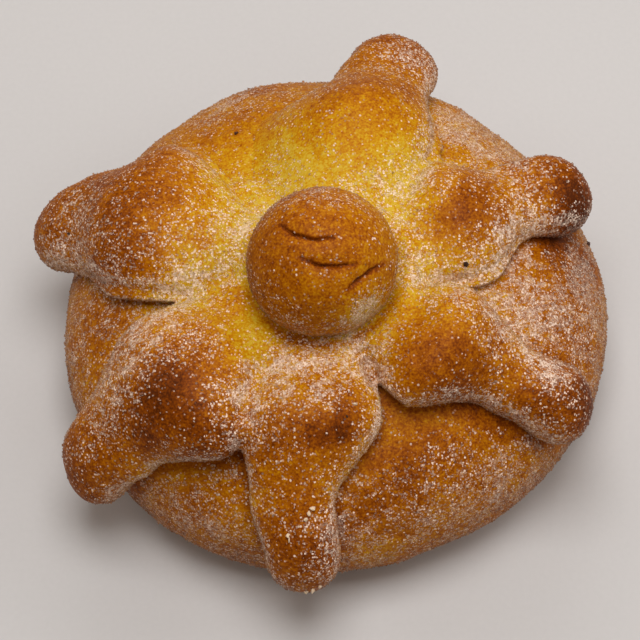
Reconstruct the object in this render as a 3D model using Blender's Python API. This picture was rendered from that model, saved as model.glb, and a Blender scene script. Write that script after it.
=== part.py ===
"""Pan de muerto: a round sweet loaf, six bone-shaped dough strips laid over it, and a ball where they meet.

Metres, +Z up. The bread stands on its flat base, with the origin at the bottom centre of its box.
"""

from dataclasses import dataclass

import bmesh
import bpy
import numpy as np

# The loaf, a body of revolution before its handmade unevenness.
LOAF_RADIUS = 0.0594
WIDEST_HEIGHT = 0.0150
DOME_RISE = 0.0290
BASE_RADIUS = 0.0455
DOME_FULLNESS = 2.2
SIDE_FULLNESS = 2.2
SLOPE_STEP = 0.0004
LOAF_SECTORS = 60
LOAF_RINGS = 22

# The loaf's swelling towards some sides: share of the radius, number of swells, bearing of one in degrees.
SWELLS = ((0.021, 1, -71.0), (0.0076, 2, 47.0), (0.014, 3, -8.0))

# Low lumps of the dome: height, turns per metre along X and along Y, and phase. They fade out above the base.
LUMPS = ((0.0005, 150.0, 60.0, 1.0), (0.0004, -80.0, 190.0, 0.0))
LUMP_FADE = 0.020

# Where the loaf's own axis stands, so that the box of the whole bread is centred on the origin.
LOAF_AXIS = (0.0023, 0.0046)

# The strips cross here, in the loaf's unrolled skin: distances along the skin from the pole of the dome.
CROSSING = (-0.0022, -0.0105)

# Touching pieces of dough keep this gap.
GAP = 0.0003

# The pressed seat where the strips cross under the ball.
SEAT_RISE = 0.0050
SEAT_RADIUS = 0.0150
SEAT_SLOPE = 0.0060
SEAT_HOLE = 0.0015

# A strip's section: how high its widest level is, and how far its foot tucks in below that.
BELLY_SHARE = 0.36
FOOT_TUCK = 0.20
SKIRT_SHARE = 0.5
NOSE_SHARE = 0.95
LAST_NOSE_TURN = 0.93
SEAM_BLEND = 0.12
VALLEY_SOFTNESS = 6.0

# A slight unevenness of the strips' crowns: share of the height, turns per metre along and across.
CROWN_RIPPLE = (0.035, 260.0, 170.0)
BODY_SECTIONS = 22
NOSE_SECTIONS = 6
CROWN_POINTS = 12
FOOT_POINTS = 3
SOLE_POINTS = 2

# The ball, its place in the unrolled skin, and the cracks in its top as plan places in ball radii.
BALL_RADIUS = 0.0153
BALL_LIFT = 0.0059
BALL_PLACE = (-0.0011, -0.0105)
BALL_SECTORS = 42
BALL_RINGS = 16
BALL_SOLE_RINGS = 3
BALL_OVALNESS = 0.010
CRACK_DEPTH = 0.0006
CRACK_HALF_WIDTH = 0.085
CRACKS = (
    ((-0.47, -0.01), (-0.29, -0.19), (-0.03, -0.25), (0.20, -0.22)),
    ((-0.21, -0.50), (0.01, -0.60), (0.42, -0.52)),
    ((0.38, -0.73), (0.58, -0.54), (0.78, -0.31)),
)

CRUST_ROUGHNESS = 0.62


@dataclass(frozen=True)
class Station:
    """A strip's size at one distance from the crossing, all in metres along or above the loaf's skin."""

    at: float
    half: float
    rise: float
    sway: float = 0.0


@dataclass(frozen=True)
class Strip:
    """One bone-shaped strip, given by its compass bearing in degrees and its root, bulge, waist and tip."""

    name: str
    bearing: float
    root_half: float
    bulge: Station
    waist: Station
    tip: Station

    @property
    def stations(self):
        """The strip's stations from the seat outwards."""
        return Station(SEAT_RADIUS, self.root_half, SEAT_RISE), self.bulge, self.waist, self.tip

    @property
    def end(self):
        """The distance of the rounded nose from the crossing."""
        return self.tip.at + NOSE_SHARE * self.tip.half

    def half_width(self, along):
        """Half the width of the strip, before its nose is rounded."""
        return eased(along, self.stations, "half")

    def rise(self, along):
        """The height of the strip's crown above the loaf."""
        return eased(along, self.stations, "rise")

    def sway(self, along):
        """How far the strip's middle line lies to the left of its straight bearing."""
        return eased(along, self.stations, "sway")

    def nose(self, along):
        """One along the strip, falling to nought as a quarter circle over its nose."""
        share = np.clip((along - self.tip.at) / (self.end - self.tip.at), 0.0, 1.0)
        return np.sqrt(1.0 - share**2)

    def height_at(self, along, across):
        """The height of the strip's upper face at places measured along and across its bearing."""
        rise = self.rise(along)
        belly = BELLY_SHARE * rise
        share = (across - self.sway(along)) / self.half_width(along)
        inside = belly + (rise - belly) * np.sqrt(np.clip(1.0 - share**2, 0.0, 1.0))
        outside = belly * np.clip(1.0 - (np.abs(share) - 1.0) / SKIRT_SHARE, 0.0, 1.0)
        depth, by_along, by_across = CROWN_RIPPLE
        ripple = 1.0 + depth * np.sin(by_along * along + by_across * across + self.bearing)
        height = np.where(np.abs(share) < 1.0, inside, outside) * ripple
        return np.where(along > 0.0, height, 0.0)


STRIPS = (
    Strip(
        "bone_back", 78.5, 0.0130,
        Station(0.0400, 0.0158, 0.0140, -0.0005),
        Station(0.0555, 0.0108, 0.0098, -0.0020),
        Station(0.0632, 0.0100, 0.0122, -0.0038),
    ),
    Strip(
        "bone_right_back", 30.0, 0.0115,
        Station(0.0320, 0.0145, 0.0112, 0.0010),
        Station(0.0450, 0.0085, 0.0090, -0.0005),
        Station(0.0535, 0.0090, 0.0128, -0.0020),
    ),
    Strip(
        "bone_right_front", -31.0, 0.0110,
        Station(0.0275, 0.0138, 0.0125, 0.0000),
        Station(0.0415, 0.0080, 0.0092, 0.0042),
        Station(0.0520, 0.0082, 0.0110, 0.0068),
    ),
    Strip(
        "bone_front", -94.0, 0.0115,
        Station(0.0285, 0.0142, 0.0112, 0.0000),
        Station(0.0440, 0.0084, 0.0088, -0.0028),
        Station(0.0542, 0.0077, 0.0106, -0.0003),
    ),
    Strip(
        "bone_left_front", -141.5, 0.0125,
        Station(0.0345, 0.0168, 0.0135, -0.0010),
        Station(0.0490, 0.0102, 0.0095, -0.0042),
        Station(0.0575, 0.0086, 0.0112, -0.0052),
    ),
    Strip(
        "bone_left_back", 159.0, 0.0110,
        Station(0.0410, 0.0172, 0.0142, -0.0043),
        Station(0.0530, 0.0122, 0.0108, -0.0030),
        Station(0.0598, 0.0098, 0.0128, -0.0018),
    ),
)


def smooth_step(share):
    """A step from nought to one that starts and ends level."""
    share = np.clip(share, 0.0, 1.0)
    return share * share * (3.0 - 2.0 * share)


def eased(along, stations, measure):
    """Smooth steps of one measure between the stations of a strip."""
    along = np.asarray(along, float)
    result = np.full(along.shape, float(getattr(stations[0], measure)))
    for near, far in zip(stations, stations[1:]):
        change = getattr(far, measure) - getattr(near, measure)
        result = result + change * smooth_step((along - near.at) / (far.at - near.at))
    return result


def skin_profile(samples=1200):
    """Distance along the skin from the pole, radius and height, from the pole to the edge of the base."""
    turn = np.linspace(0.0, np.pi / 2, samples)
    dome_radius = LOAF_RADIUS * np.sin(turn) ** (2 / DOME_FULLNESS)
    dome_height = WIDEST_HEIGHT + DOME_RISE * np.cos(turn) ** (2 / DOME_FULLNESS)
    side_radius = BASE_RADIUS + (LOAF_RADIUS - BASE_RADIUS) * np.cos(turn) ** (2 / SIDE_FULLNESS)
    side_height = WIDEST_HEIGHT * (1.0 - np.sin(turn) ** (2 / SIDE_FULLNESS))
    radius = np.append(dome_radius, side_radius[1:])
    height = np.append(dome_height, side_height[1:])
    distance = np.append(0.0, np.cumsum(np.hypot(np.diff(radius), np.diff(height))))
    return distance, radius, height


SKIN = skin_profile()
SKIN_LENGTH = float(SKIN[0][-1])


def loaf_skin(places):
    """Points of the loaf's skin at places of the unrolled skin, as (x, y) rows measured from the pole."""
    x, y = places[:, 0], places[:, 1]
    distance = np.hypot(x, y)
    bearing = np.arctan2(y, x)
    radius = np.interp(distance, SKIN[0], SKIN[1])
    height = np.interp(distance, SKIN[0], SKIN[2])
    swell = sum(share * np.cos(count * (bearing - np.radians(at))) for share, count, at in SWELLS)
    radius = radius * (1.0 + swell * np.clip(distance / LOAF_RADIUS, 0.0, 1.0))
    lumps = sum(rise * np.sin(by_x * x + by_y * y + phase) for rise, by_x, by_y, phase in LUMPS)
    height = height + lumps * np.clip((SKIN_LENGTH - distance) / LUMP_FADE, 0.0, 1.0)
    return np.column_stack((radius * np.cos(bearing), radius * np.sin(bearing), height))


def raised_skin(places, rise):
    """Points at a height above the loaf's skin, measured square to it."""
    places = np.atleast_2d(np.asarray(places, float))
    along_x = loaf_skin(places + (SLOPE_STEP, 0.0)) - loaf_skin(places - (SLOPE_STEP, 0.0))
    along_y = loaf_skin(places + (0.0, SLOPE_STEP)) - loaf_skin(places - (0.0, SLOPE_STEP))
    square = np.cross(along_x, along_y)
    square /= np.linalg.norm(square, axis=1, keepdims=True)
    return loaf_skin(places) + square * np.reshape(rise, (-1, 1))


def strip_frame(strip):
    """The unit vectors along and across a strip, in the unrolled skin."""
    bearing = np.radians(strip.bearing)
    along = np.array((np.cos(bearing), np.sin(bearing)))
    return along, np.array((-along[1], along[0]))


def on_strip(strip, along, across):
    """Places of the unrolled skin, from distances along and across a strip."""
    ahead, aside = strip_frame(strip)
    return np.array(CROSSING) + np.outer(along, ahead) + np.outer(across, aside)


def dough_height(places):
    """The height of all the strips together above the loaf: soft valleys between, pressed flat at the seat."""
    offset = places - np.array(CROSSING)
    total = np.zeros(len(places))
    for strip in STRIPS:
        ahead, aside = strip_frame(strip)
        height = strip.height_at(offset @ ahead, offset @ aside)
        total = total + (height / SEAT_RISE) ** VALLEY_SOFTNESS
    merged = SEAT_RISE * total ** (1 / VALLEY_SOFTNESS)
    spread = smooth_step((np.hypot(offset[:, 0], offset[:, 1]) - SEAT_RADIUS) / SEAT_SLOPE)
    return SEAT_RISE + (merged - SEAT_RISE) * spread


def solid_of_rings(name, rings, material, first_point=None, last_point=None):
    """A closed object skinned over rings of points, each end closed by a point or by a flat face."""
    mesh = bpy.data.meshes.new(name)
    work = bmesh.new()
    loops = [[work.verts.new(point) for point in ring] for ring in rings]
    for lower, upper in zip(loops, loops[1:]):
        for i in range(len(lower)):
            j = (i + 1) % len(lower)
            work.faces.new((lower[i], lower[j], upper[j], upper[i]))
    for loop, point in ((loops[0][::-1], first_point), (loops[-1], last_point)):
        if point is None:
            work.faces.new(loop)
            continue
        apex = work.verts.new(point)
        for i in range(len(loop)):
            work.faces.new((loop[i], loop[(i + 1) % len(loop)], apex))
    bmesh.ops.triangulate(work, faces=work.faces[:], quad_method="SHORT_EDGE")
    bmesh.ops.recalc_face_normals(work, faces=work.faces[:])
    work.to_mesh(mesh)
    work.free()
    mesh.shade_smooth()
    mesh.set_sharp_from_angle(angle=np.radians(50))
    mesh.materials.append(material)
    body = bpy.data.objects.new(name, mesh)
    body.location = (*LOAF_AXIS, 0.0)
    bpy.context.scene.collection.objects.link(body)
    return body


def crust(name, colour):
    """A baked crust finish of one colour."""
    material = bpy.data.materials.new(name)
    material.use_nodes = True
    shader = material.node_tree.nodes["Principled BSDF"]
    shader.inputs["Base Color"].default_value = (*colour, 1.0)
    shader.inputs["Roughness"].default_value = CRUST_ROUGHNESS
    shader.inputs["Metallic"].default_value = 0.0
    material.diffuse_color = (*colour, 1.0)
    return material


def make_loaf():
    """The round loaf on its flat base."""
    bearings = np.linspace(0.0, 2 * np.pi, LOAF_SECTORS, endpoint=False)
    compass = np.column_stack((np.cos(bearings), np.sin(bearings)))
    rings = [loaf_skin(compass * SKIN_LENGTH * k / LOAF_RINGS) for k in range(1, LOAF_RINGS + 1)]
    rings[-1][:, 2] = 0.0
    pole = loaf_skin(np.array([[1e-6, 0.0]]))[0]
    return solid_of_rings("loaf", rings, crust("loaf_crust", (0.42, 0.19, 0.055)), pole, (0.0, 0.0, 0.0))


def seam_limit(strip, neighbour, along):
    """How far across a strip may reach before the line midway to its neighbour."""
    turn = abs(neighbour.bearing - strip.bearing) % 360.0
    half_turn = np.radians(min(turn, 360.0 - turn)) / 2
    return along * np.tan(half_turn) - GAP / 2 / np.cos(half_turn)


def foot(end, height, cut):
    """The flank of a strip below its crown's end, as rows of (across, height) going down to the loaf."""
    turns = np.linspace(0.0, np.pi / 2, FOOT_POINTS + 1)[1:]
    tuck = end * FOOT_TUCK * (1.0 - cut)
    across = end - tuck * (1.0 - np.cos(turns))
    return np.column_stack((across, height - (height - GAP) * np.sin(turns)))


def strip_ring(strip, left, right, along):
    """One ring of a strip across it, as points in space."""
    half = float(strip.half_width(along))
    sway = float(strip.sway(along))
    ends = []
    cuts = []
    for neighbour, side in ((left, 1.0), (right, -1.0)):
        own = half + side * sway
        limit = seam_limit(strip, neighbour, along)
        ends.append(side * min(own, limit))
        cuts.append(float(np.clip((own - limit) / (SEAM_BLEND * own), 0.0, 1.0)))
    turns = np.linspace(0.0, np.pi, CROWN_POINTS)
    across = (ends[0] + ends[1]) / 2 + (ends[0] - ends[1]) / 2 * np.cos(turns)
    height = dough_height(on_strip(strip, np.full(CROWN_POINTS, along), across))
    crown = np.column_stack((across, height))
    left_foot = foot(ends[0], height[0], cuts[0])
    right_foot = foot(ends[1], height[-1], cuts[1])
    sole = np.linspace(right_foot[-1], left_foot[-1], SOLE_POINTS + 2)[1:-1]
    ring = np.vstack((crown, right_foot, sole, left_foot[::-1]))
    middle = np.array((sway, BELLY_SHARE * float(strip.rise(along))))
    ring = middle + (ring - middle) * float(strip.nose(along))
    return raised_skin(on_strip(strip, np.full(len(ring), along), ring[:, 0]), ring[:, 1])


def make_strip(index):
    """A bone-shaped strip, from the crossing under the ball to its rounded nose."""
    strip = STRIPS[index]
    left = STRIPS[index - 1]
    right = STRIPS[(index + 1) % len(STRIPS)]
    body = np.linspace(SEAT_HOLE, strip.tip.at, BODY_SECTIONS)
    turns = np.linspace(0.0, LAST_NOSE_TURN, NOSE_SECTIONS + 1)[1:] * np.pi / 2
    nose = strip.tip.at + (strip.end - strip.tip.at) * np.sin(turns)
    rings = [strip_ring(strip, left, right, along) for along in np.append(body, nose)]
    end_height = BELLY_SHARE * float(strip.rise(strip.end))
    tip = raised_skin(on_strip(strip, [strip.end], [float(strip.sway(strip.end))]), [end_height])[0]
    return solid_of_rings(strip.name, rings, crust(strip.name + "_crust", (0.50, 0.24, 0.065)), None, tip)


def crack_distance(plan, path):
    """The plan distance from places on the ball to a crack's path, in ball radii."""
    nearest = np.full(len(plan), np.inf)
    for start, end in zip(np.array(path), np.array(path)[1:]):
        run = end - start
        share = np.clip((plan - start) @ run / (run @ run), 0.0, 1.0)
        nearest = np.minimum(nearest, np.hypot(*(plan - start - share[:, None] * run).T))
    return nearest


def make_ball():
    """The ball, sitting on the pressed seat over the crossing."""
    bearings = np.linspace(0.0, 2 * np.pi, BALL_SECTORS, endpoint=False)
    compass = np.column_stack((np.cos(bearings), np.sin(bearings)))
    contact = np.sqrt(BALL_RADIUS**2 - BALL_LIFT**2)
    rings = []
    for k in range(1, BALL_SOLE_RINGS + 1):
        places = np.array(BALL_PLACE) + compass * contact * k / BALL_SOLE_RINGS
        rings.append(raised_skin(places, np.full(BALL_SECTORS, SEAT_RISE + GAP)))
    middle = raised_skin([BALL_PLACE], [SEAT_RISE + GAP + BALL_LIFT])[0]
    start = -np.arcsin(BALL_LIFT / BALL_RADIUS)
    for lift in np.linspace(start, np.pi / 2, BALL_RINGS + 1)[1:-1]:
        plan = compass * np.cos(lift)
        dents = [np.exp(-((crack_distance(plan, path) / CRACK_HALF_WIDTH) ** 2)) for path in CRACKS]
        reach = BALL_RADIUS * (1.0 + BALL_OVALNESS * np.sin(2 * bearings + 0.5) * np.cos(lift))
        if lift > 0.0:
            reach = reach - CRACK_DEPTH * np.max(dents, axis=0)
        rings.append(middle + np.column_stack((plan, np.full(BALL_SECTORS, np.sin(lift)))) * reach[:, None])
    sole = raised_skin([BALL_PLACE], [SEAT_RISE + GAP])[0]
    crest = middle + (0.0, 0.0, BALL_RADIUS)
    return solid_of_rings("ball", rings, crust("ball_crust", (0.38, 0.15, 0.04)), sole, crest)


def main():
    """Builds the loaf, the six strips and the ball in an empty scene."""
    for thing in list(bpy.data.objects):
        bpy.data.objects.remove(thing)
    make_loaf()
    for index in range(len(STRIPS)):
        make_strip(index)
    make_ball()


main()
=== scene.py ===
"""The looks of a pan de muerto: its crust, its sugar, and a plain studio round it.

Metres, +Z up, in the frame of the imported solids. The loaf, the six strips and the ball are made again here at
a fineness that shows the crust's relief, on the same named sizes as the solids. Granulated sugar lies on them.
"""

import itertools
import logging
import math
from dataclasses import dataclass
from enum import Enum
from typing import Any, Mapping, Sequence

import bmesh
import bpy
import numpy as np
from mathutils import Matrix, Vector
from mathutils.kdtree import KDTree


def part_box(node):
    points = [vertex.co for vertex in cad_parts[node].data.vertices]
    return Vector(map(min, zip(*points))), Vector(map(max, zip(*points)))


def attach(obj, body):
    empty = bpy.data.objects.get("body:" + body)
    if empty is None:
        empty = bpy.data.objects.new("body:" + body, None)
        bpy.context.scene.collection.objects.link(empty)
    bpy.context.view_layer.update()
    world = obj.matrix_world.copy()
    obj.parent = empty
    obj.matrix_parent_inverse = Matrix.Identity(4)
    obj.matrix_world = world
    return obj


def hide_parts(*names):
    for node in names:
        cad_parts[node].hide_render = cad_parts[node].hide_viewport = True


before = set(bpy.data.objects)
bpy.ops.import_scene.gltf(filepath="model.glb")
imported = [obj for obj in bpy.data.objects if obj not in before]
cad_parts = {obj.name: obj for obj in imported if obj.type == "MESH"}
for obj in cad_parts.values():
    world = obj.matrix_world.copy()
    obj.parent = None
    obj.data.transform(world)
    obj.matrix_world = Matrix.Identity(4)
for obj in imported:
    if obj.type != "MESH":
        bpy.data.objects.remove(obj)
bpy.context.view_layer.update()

MM = 0.001
PHOTO_SIZE = 640

log = logging.getLogger("pan_de_muerto")

Array = np.ndarray
Body = bpy.types.Object
Socket = bpy.types.NodeSocket
Tree = bpy.types.NodeTree
Path = Sequence[tuple[float, float]]
Run = tuple[float, float]
Way = tuple[float, float, float]
Row = tuple[float, float, float, float]


def linear(hex_colour: str) -> Row:
    """Turns an sRGB hex colour into linear light.

    Args:
        hex_colour: Six hex digits, with or without a leading hash.

    Returns:
        Red, green, blue and an alpha of one.
    """
    digits = hex_colour.lstrip("#")
    shares = [int(digits[i : i + 2], 16) / 255 for i in (0, 2, 4)]
    light = [s / 12.92 if s <= 0.04045 else ((s + 0.055) / 1.055) ** 2.4 for s in shares]
    return light[0], light[1], light[2], 1.0


def smooth_step(share: Array | float) -> Array:
    """A step from nought to one that starts and ends level."""
    share = np.clip(share, 0.0, 1.0)
    return share * share * (3.0 - 2.0 * share)


def ramp(value: Array | float, start: float, over: float) -> Array:
    """A smooth step from nought at a start to one a run further on."""
    return smooth_step((value - start) / over)


def bell(gap: Array, width: float) -> Array:
    """One where there is no gap, falling softly to nought over about two widths."""
    return np.exp(-((gap / width) ** 2))


def unit(vectors: Array) -> Array:
    """The rows of an array, each made one long."""
    return vectors / np.maximum(np.linalg.norm(vectors, axis=-1, keepdims=True), 1e-12)


def smooth_noise(points: Array, size: float, seed: int) -> Array:
    """Smooth random swells over space.

    Args:
        points: Places as rows.
        size: The distance between swells, in the unit of the places.
        seed: Picks the pattern.

    Returns:
        One value between -1 and 1 for each place.
    """
    side = 48
    lattice = np.random.default_rng(seed).uniform(-1.0, 1.0, (side, side, side))
    scaled = points / size
    cell = np.floor(scaled).astype(int)
    share = smooth_step(scaled - cell)
    total = np.zeros(len(points))
    for corner in itertools.product((0, 1), repeat=3):
        weight = np.prod(np.where(corner, share, 1.0 - share), axis=1)
        at = (cell + corner) % side
        total += weight * lattice[at[:, 0], at[:, 1], at[:, 2]]
    return total


def add_node(tree: Tree, kind: str, inputs: Mapping[Any, Any] | None = None, **settings: Any) -> bpy.types.Node:
    """Adds one node to a tree.

    Args:
        tree: The node tree.
        kind: The shader node's type.
        inputs: Input sockets, by name or number, each with the output to link to it or the value to set.
        settings: The node's own properties.

    Returns:
        The new node.
    """
    node = tree.nodes.new("ShaderNode" + kind)
    for name, value in settings.items():
        setattr(node, name, value)
    for name, value in (inputs or {}).items():
        if isinstance(value, Socket):
            tree.links.new(value, node.inputs[name])
        else:
            node.inputs[name].default_value = value
    return node


@dataclass(frozen=True)
class LoafSkin:
    """The loaf's outer skin, as a map from its unrolled skin to space.

    A place of the unrolled skin is a distance from the dome's pole, in a compass bearing, as x and y.
    """

    radius: float = 59.4 * MM
    widest_height: float = 15.0 * MM
    dome_rise: float = 29.0 * MM
    base_radius: float = 45.5 * MM
    dome_fullness: float = 2.2
    side_fullness: float = 2.2
    swells: tuple[tuple[float, int, float], ...] = ((0.021, 1, -71.0), (0.0076, 2, 47.0), (0.014, 3, -8.0))
    lumps: tuple[Row, ...] = ((0.5 * MM, 150.0, 60.0, 1.0), (0.4 * MM, -80.0, 190.0, 0.0))
    lump_fade: float = 20.0 * MM
    slope_step: float = 0.4 * MM

    def profile(self, samples: int = 1200) -> tuple[Array, Array, Array]:
        """The skin's profile, from the pole to the edge of the base.

        Args:
            samples: How many points the dome and the side have each.

        Returns:
            Distance along the skin, radius and height.
        """
        turn = np.linspace(0.0, np.pi / 2, samples)
        dome_radius = self.radius * np.sin(turn) ** (2 / self.dome_fullness)
        dome_height = self.widest_height + self.dome_rise * np.cos(turn) ** (2 / self.dome_fullness)
        overhang = self.radius - self.base_radius
        side_radius = self.base_radius + overhang * np.cos(turn) ** (2 / self.side_fullness)
        side_height = self.widest_height * (1.0 - np.sin(turn) ** (2 / self.side_fullness))
        radius = np.append(dome_radius, side_radius[1:])
        height = np.append(dome_height, side_height[1:])
        distance = np.append(0.0, np.cumsum(np.hypot(np.diff(radius), np.diff(height))))
        return distance, radius, height

    @property
    def length(self) -> float:
        """The distance along the skin from the pole to the edge of the base."""
        return float(self.profile()[0][-1])

    def swell(self, bearing: Array) -> Array:
        """The loaf's handmade unevenness, as a share of the radius at each bearing."""
        return sum(share * np.cos(count * (bearing - np.radians(at))) for share, count, at in self.swells)

    def points(self, places: Array) -> Array:
        """Points of the skin.

        Args:
            places: Places of the unrolled skin.

        Returns:
            The points in space, from the loaf's axis.
        """
        length, radius_at, height_at = self.profile()
        x, y = places.T
        distance, bearing = np.hypot(x, y), np.arctan2(y, x)
        radius = np.interp(distance, length, radius_at)
        radius = radius * (1.0 + self.swell(bearing) * np.clip(distance / self.radius, 0.0, 1.0))
        lumps = sum(rise * np.sin(by_x * x + by_y * y + phase) for rise, by_x, by_y, phase in self.lumps)
        fade = np.clip((length[-1] - distance) / self.lump_fade, 0.0, 1.0)
        height = np.interp(distance, length, height_at) + lumps * fade
        return np.column_stack((radius * np.cos(bearing), radius * np.sin(bearing), height))

    def outward(self, places: Array) -> Array:
        """The directions square to the skin at places of it."""
        (east, north), at = np.eye(2) * self.slope_step, self.points
        return unit(np.cross(at(places + east) - at(places - east), at(places + north) - at(places - north)))

    def raised(self, places: Array, rise: Array) -> Array:
        """Points at a height above the skin, measured square to it."""
        return self.points(places) + self.outward(places) * np.reshape(rise, (-1, 1))

    def locate(self, points: Array) -> tuple[Array, Array]:
        """Finds where points lie over the skin.

        Args:
            points: Points in space, from the loaf's axis.

        Returns:
            Their places of the unrolled skin, and their distances from the skin.
        """
        length, radius_at, height_at = self.profile(150)
        bearing = np.arctan2(points[:, 1], points[:, 0])
        swell = self.swell(bearing)
        radial = np.hypot(points[:, 0], points[:, 1])
        compass = np.column_stack((np.cos(bearing), np.sin(bearing)))
        places, lift = np.zeros((len(points), 2)), np.zeros(len(points))
        growth = np.clip(length / self.radius, 0.0, 1.0)
        at_once = 20000
        for start in range(0, len(points), at_once):
            part = slice(start, start + at_once)
            near_radius = radius_at * (1.0 + swell[part, None] * growth)
            gap = np.hypot(near_radius - radial[part, None], height_at - points[part, 2, None])
            nearest = gap.argmin(axis=1)
            lift[part] = gap[np.arange(len(nearest)), nearest]
            places[part] = length[nearest, None] * compass[part]
        return places, lift


@dataclass(frozen=True)
class Station:
    """A strip's size at one distance from the crossing, in metres along or above the loaf's skin."""

    at: float
    half: float
    rise: float
    sway: float = 0.0


@dataclass(frozen=True)
class Seat:
    """The pressed place under the ball where the strips cross, and the dough that rises round the ball."""

    centre: tuple[float, float] = (-2.2 * MM, -10.5 * MM)
    rise: float = 5.0 * MM
    radius: float = 15.0 * MM
    slope: float = 6.0 * MM
    rim_radius: float = 18.0 * MM
    rim_width: float = 1.8 * MM
    rim_rise: float = 1.5 * MM
    rim_least: float = 0.35
    rim_turn: float = math.radians(10)
    groove_radius: float = 14.6 * MM
    groove_width: float = 1.5 * MM
    groove_depth: float = 0.7 * MM

    def distance(self, places: Array) -> Array:
        """How far places of the unrolled skin are from the crossing."""
        return np.hypot(*(places - np.array(self.centre)).T)


@dataclass(frozen=True)
class Strip:
    """One bone-shaped strip: its bearing in degrees, its sizes, and how softly each side joins the loaf."""

    name: str
    bearing: float
    root_half: float
    bulge: Station
    waist: Station
    tip: Station
    soft_left: float
    soft_right: float

    def eased(self, along: Array, measure: str, seat: Seat) -> Array:
        """One measure, in smooth steps from the seat out through the bulge and the waist to the tip.

        Args:
            along: Distances from the crossing.
            measure: Which of a station's measures.
            seat: Where the strip starts.

        Returns:
            The measure at each distance.
        """
        along = np.asarray(along, float)
        stations = (Station(seat.radius, self.root_half, seat.rise), self.bulge, self.waist, self.tip)
        result = np.full(along.shape, float(getattr(stations[0], measure)))
        for near, far in zip(stations, stations[1:]):
            change = getattr(far, measure) - getattr(near, measure)
            result = result + change * ramp(along, near.at, far.at - near.at)
        return result

    def softness(self, along: Array, side: Array) -> Array:
        """How softly a side joins the loaf.

        Args:
            along: Distances from the crossing.
            side: Above nought for the left side, below for the right.

        Returns:
            Nought where it tucks under, one where it runs out in a long slope.
        """
        fading = 1.0 - ramp(np.asarray(along), self.bulge.at, self.tip.at - self.bulge.at)
        return np.where(np.asarray(side) > 0.0, self.soft_left, self.soft_right) * fading

    @property
    def ahead(self) -> Array:
        """The unit vector along the strip, in the unrolled skin."""
        return np.array((math.cos(math.radians(self.bearing)), math.sin(math.radians(self.bearing))))

    @property
    def aside(self) -> Array:
        """The unit vector to the strip's left, in the unrolled skin."""
        return np.array((-self.ahead[1], self.ahead[0]))


def strip_from(
    name: str, bearing: float, root: float, stations: Sequence[Row], left: float, right: float
) -> Strip:
    """Makes a strip from sizes in millimetres.

    Args:
        name: Its name.
        bearing: Where it points, in degrees.
        root: Half its width at the crossing.
        stations: The bulge, the waist and the tip, each as distance, half width, rise and sway.
        left: How softly its left side joins the loaf.
        right: How softly its right side does.

    Returns:
        The strip.
    """
    bulge, waist, tip = (Station(*(size * MM for size in station)) for station in stations)
    return Strip(name, bearing, root * MM, bulge, waist, tip, left, right)


STRIPS: tuple[Strip, ...] = (
    strip_from("bone_back", 78.5, 13.0,
               ((40.0, 15.8, 14.0, -0.5), (55.5, 10.8, 9.8, -2.0), (63.2, 10.0, 12.2, -3.8)), 1.0, 0.35),
    strip_from("bone_right_back", 30.0, 11.5,
               ((32.0, 14.5, 11.2, 1.0), (45.0, 8.5, 9.0, -0.5), (53.5, 9.0, 12.8, -2.0)), 0.7, 0.3),
    strip_from("bone_right_front", -31.0, 11.0,
               ((27.5, 13.8, 12.5, 0.0), (41.5, 8.0, 9.2, 4.2), (52.0, 8.2, 11.0, 6.8)), 0.0, 0.0),
    strip_from("bone_front", -94.0, 11.5,
               ((28.5, 14.2, 11.2, 0.0), (44.0, 8.4, 8.8, -2.8), (54.2, 7.7, 10.6, -0.3)), 0.0, 0.0),
    strip_from("bone_left_front", -141.5, 12.5,
               ((34.5, 16.8, 13.5, -1.0), (49.0, 10.2, 9.5, -4.2), (57.5, 8.6, 11.2, -5.2)), 0.0, 0.1),
    strip_from("bone_left_back", 159.0, 11.0,
               ((41.0, 17.2, 14.2, -4.3), (53.0, 12.2, 10.8, -3.0), (59.8, 9.8, 12.8, -1.8)), 0.25, 0.35),
)


def path_distance(plan: Array, path: Path) -> tuple[Array, Array]:
    """How far places of a plane are from a line with corners.

    Args:
        plan: The places as rows.
        path: The line's corners.

    Returns:
        The distance to the line, and how far along it the nearest point is, from nought to one.
    """
    corners = np.array(path)
    nearest, along = np.full(len(plan), np.inf), np.zeros(len(plan))
    for k, (start, end) in enumerate(zip(corners, corners[1:])):
        run = end - start
        share = np.clip((plan - start) @ run / (run @ run), 0.0, 1.0)
        gap = np.hypot(*(plan - start - share[:, None] * run).T)
        closer = gap < nearest
        nearest = np.where(closer, gap, nearest)
        along = np.where(closer, (k + share) / (len(corners) - 1), along)
    return nearest, along


def tapered(along: Array, fullness: float, least: float) -> Array:
    """One along the middle of a line, falling towards the least at its ends."""
    return np.clip(fullness * along * (1.0 - along) + least, 0.0, 1.0)


CREASE_FULLNESS, CREASE_LEAST = 6.0, 0.1


@dataclass(frozen=True)
class Crease:
    """A crease between two strips near the crossing, in millimetres of skin, with its sugar and browning; a
    darker browning is painted shade, a paler one is the fold's own pale dough.
    """

    path: Path
    depth: float
    half_width: float
    bake: float
    sugar: float

    def near(self, places: Array, width: float) -> Array:
        """One in the crease, falling to nought beside it and at its ends."""
        gap, along = path_distance(places / MM, self.path)
        return bell(gap, width) * tapered(along, CREASE_FULLNESS, CREASE_LEAST)


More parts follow.
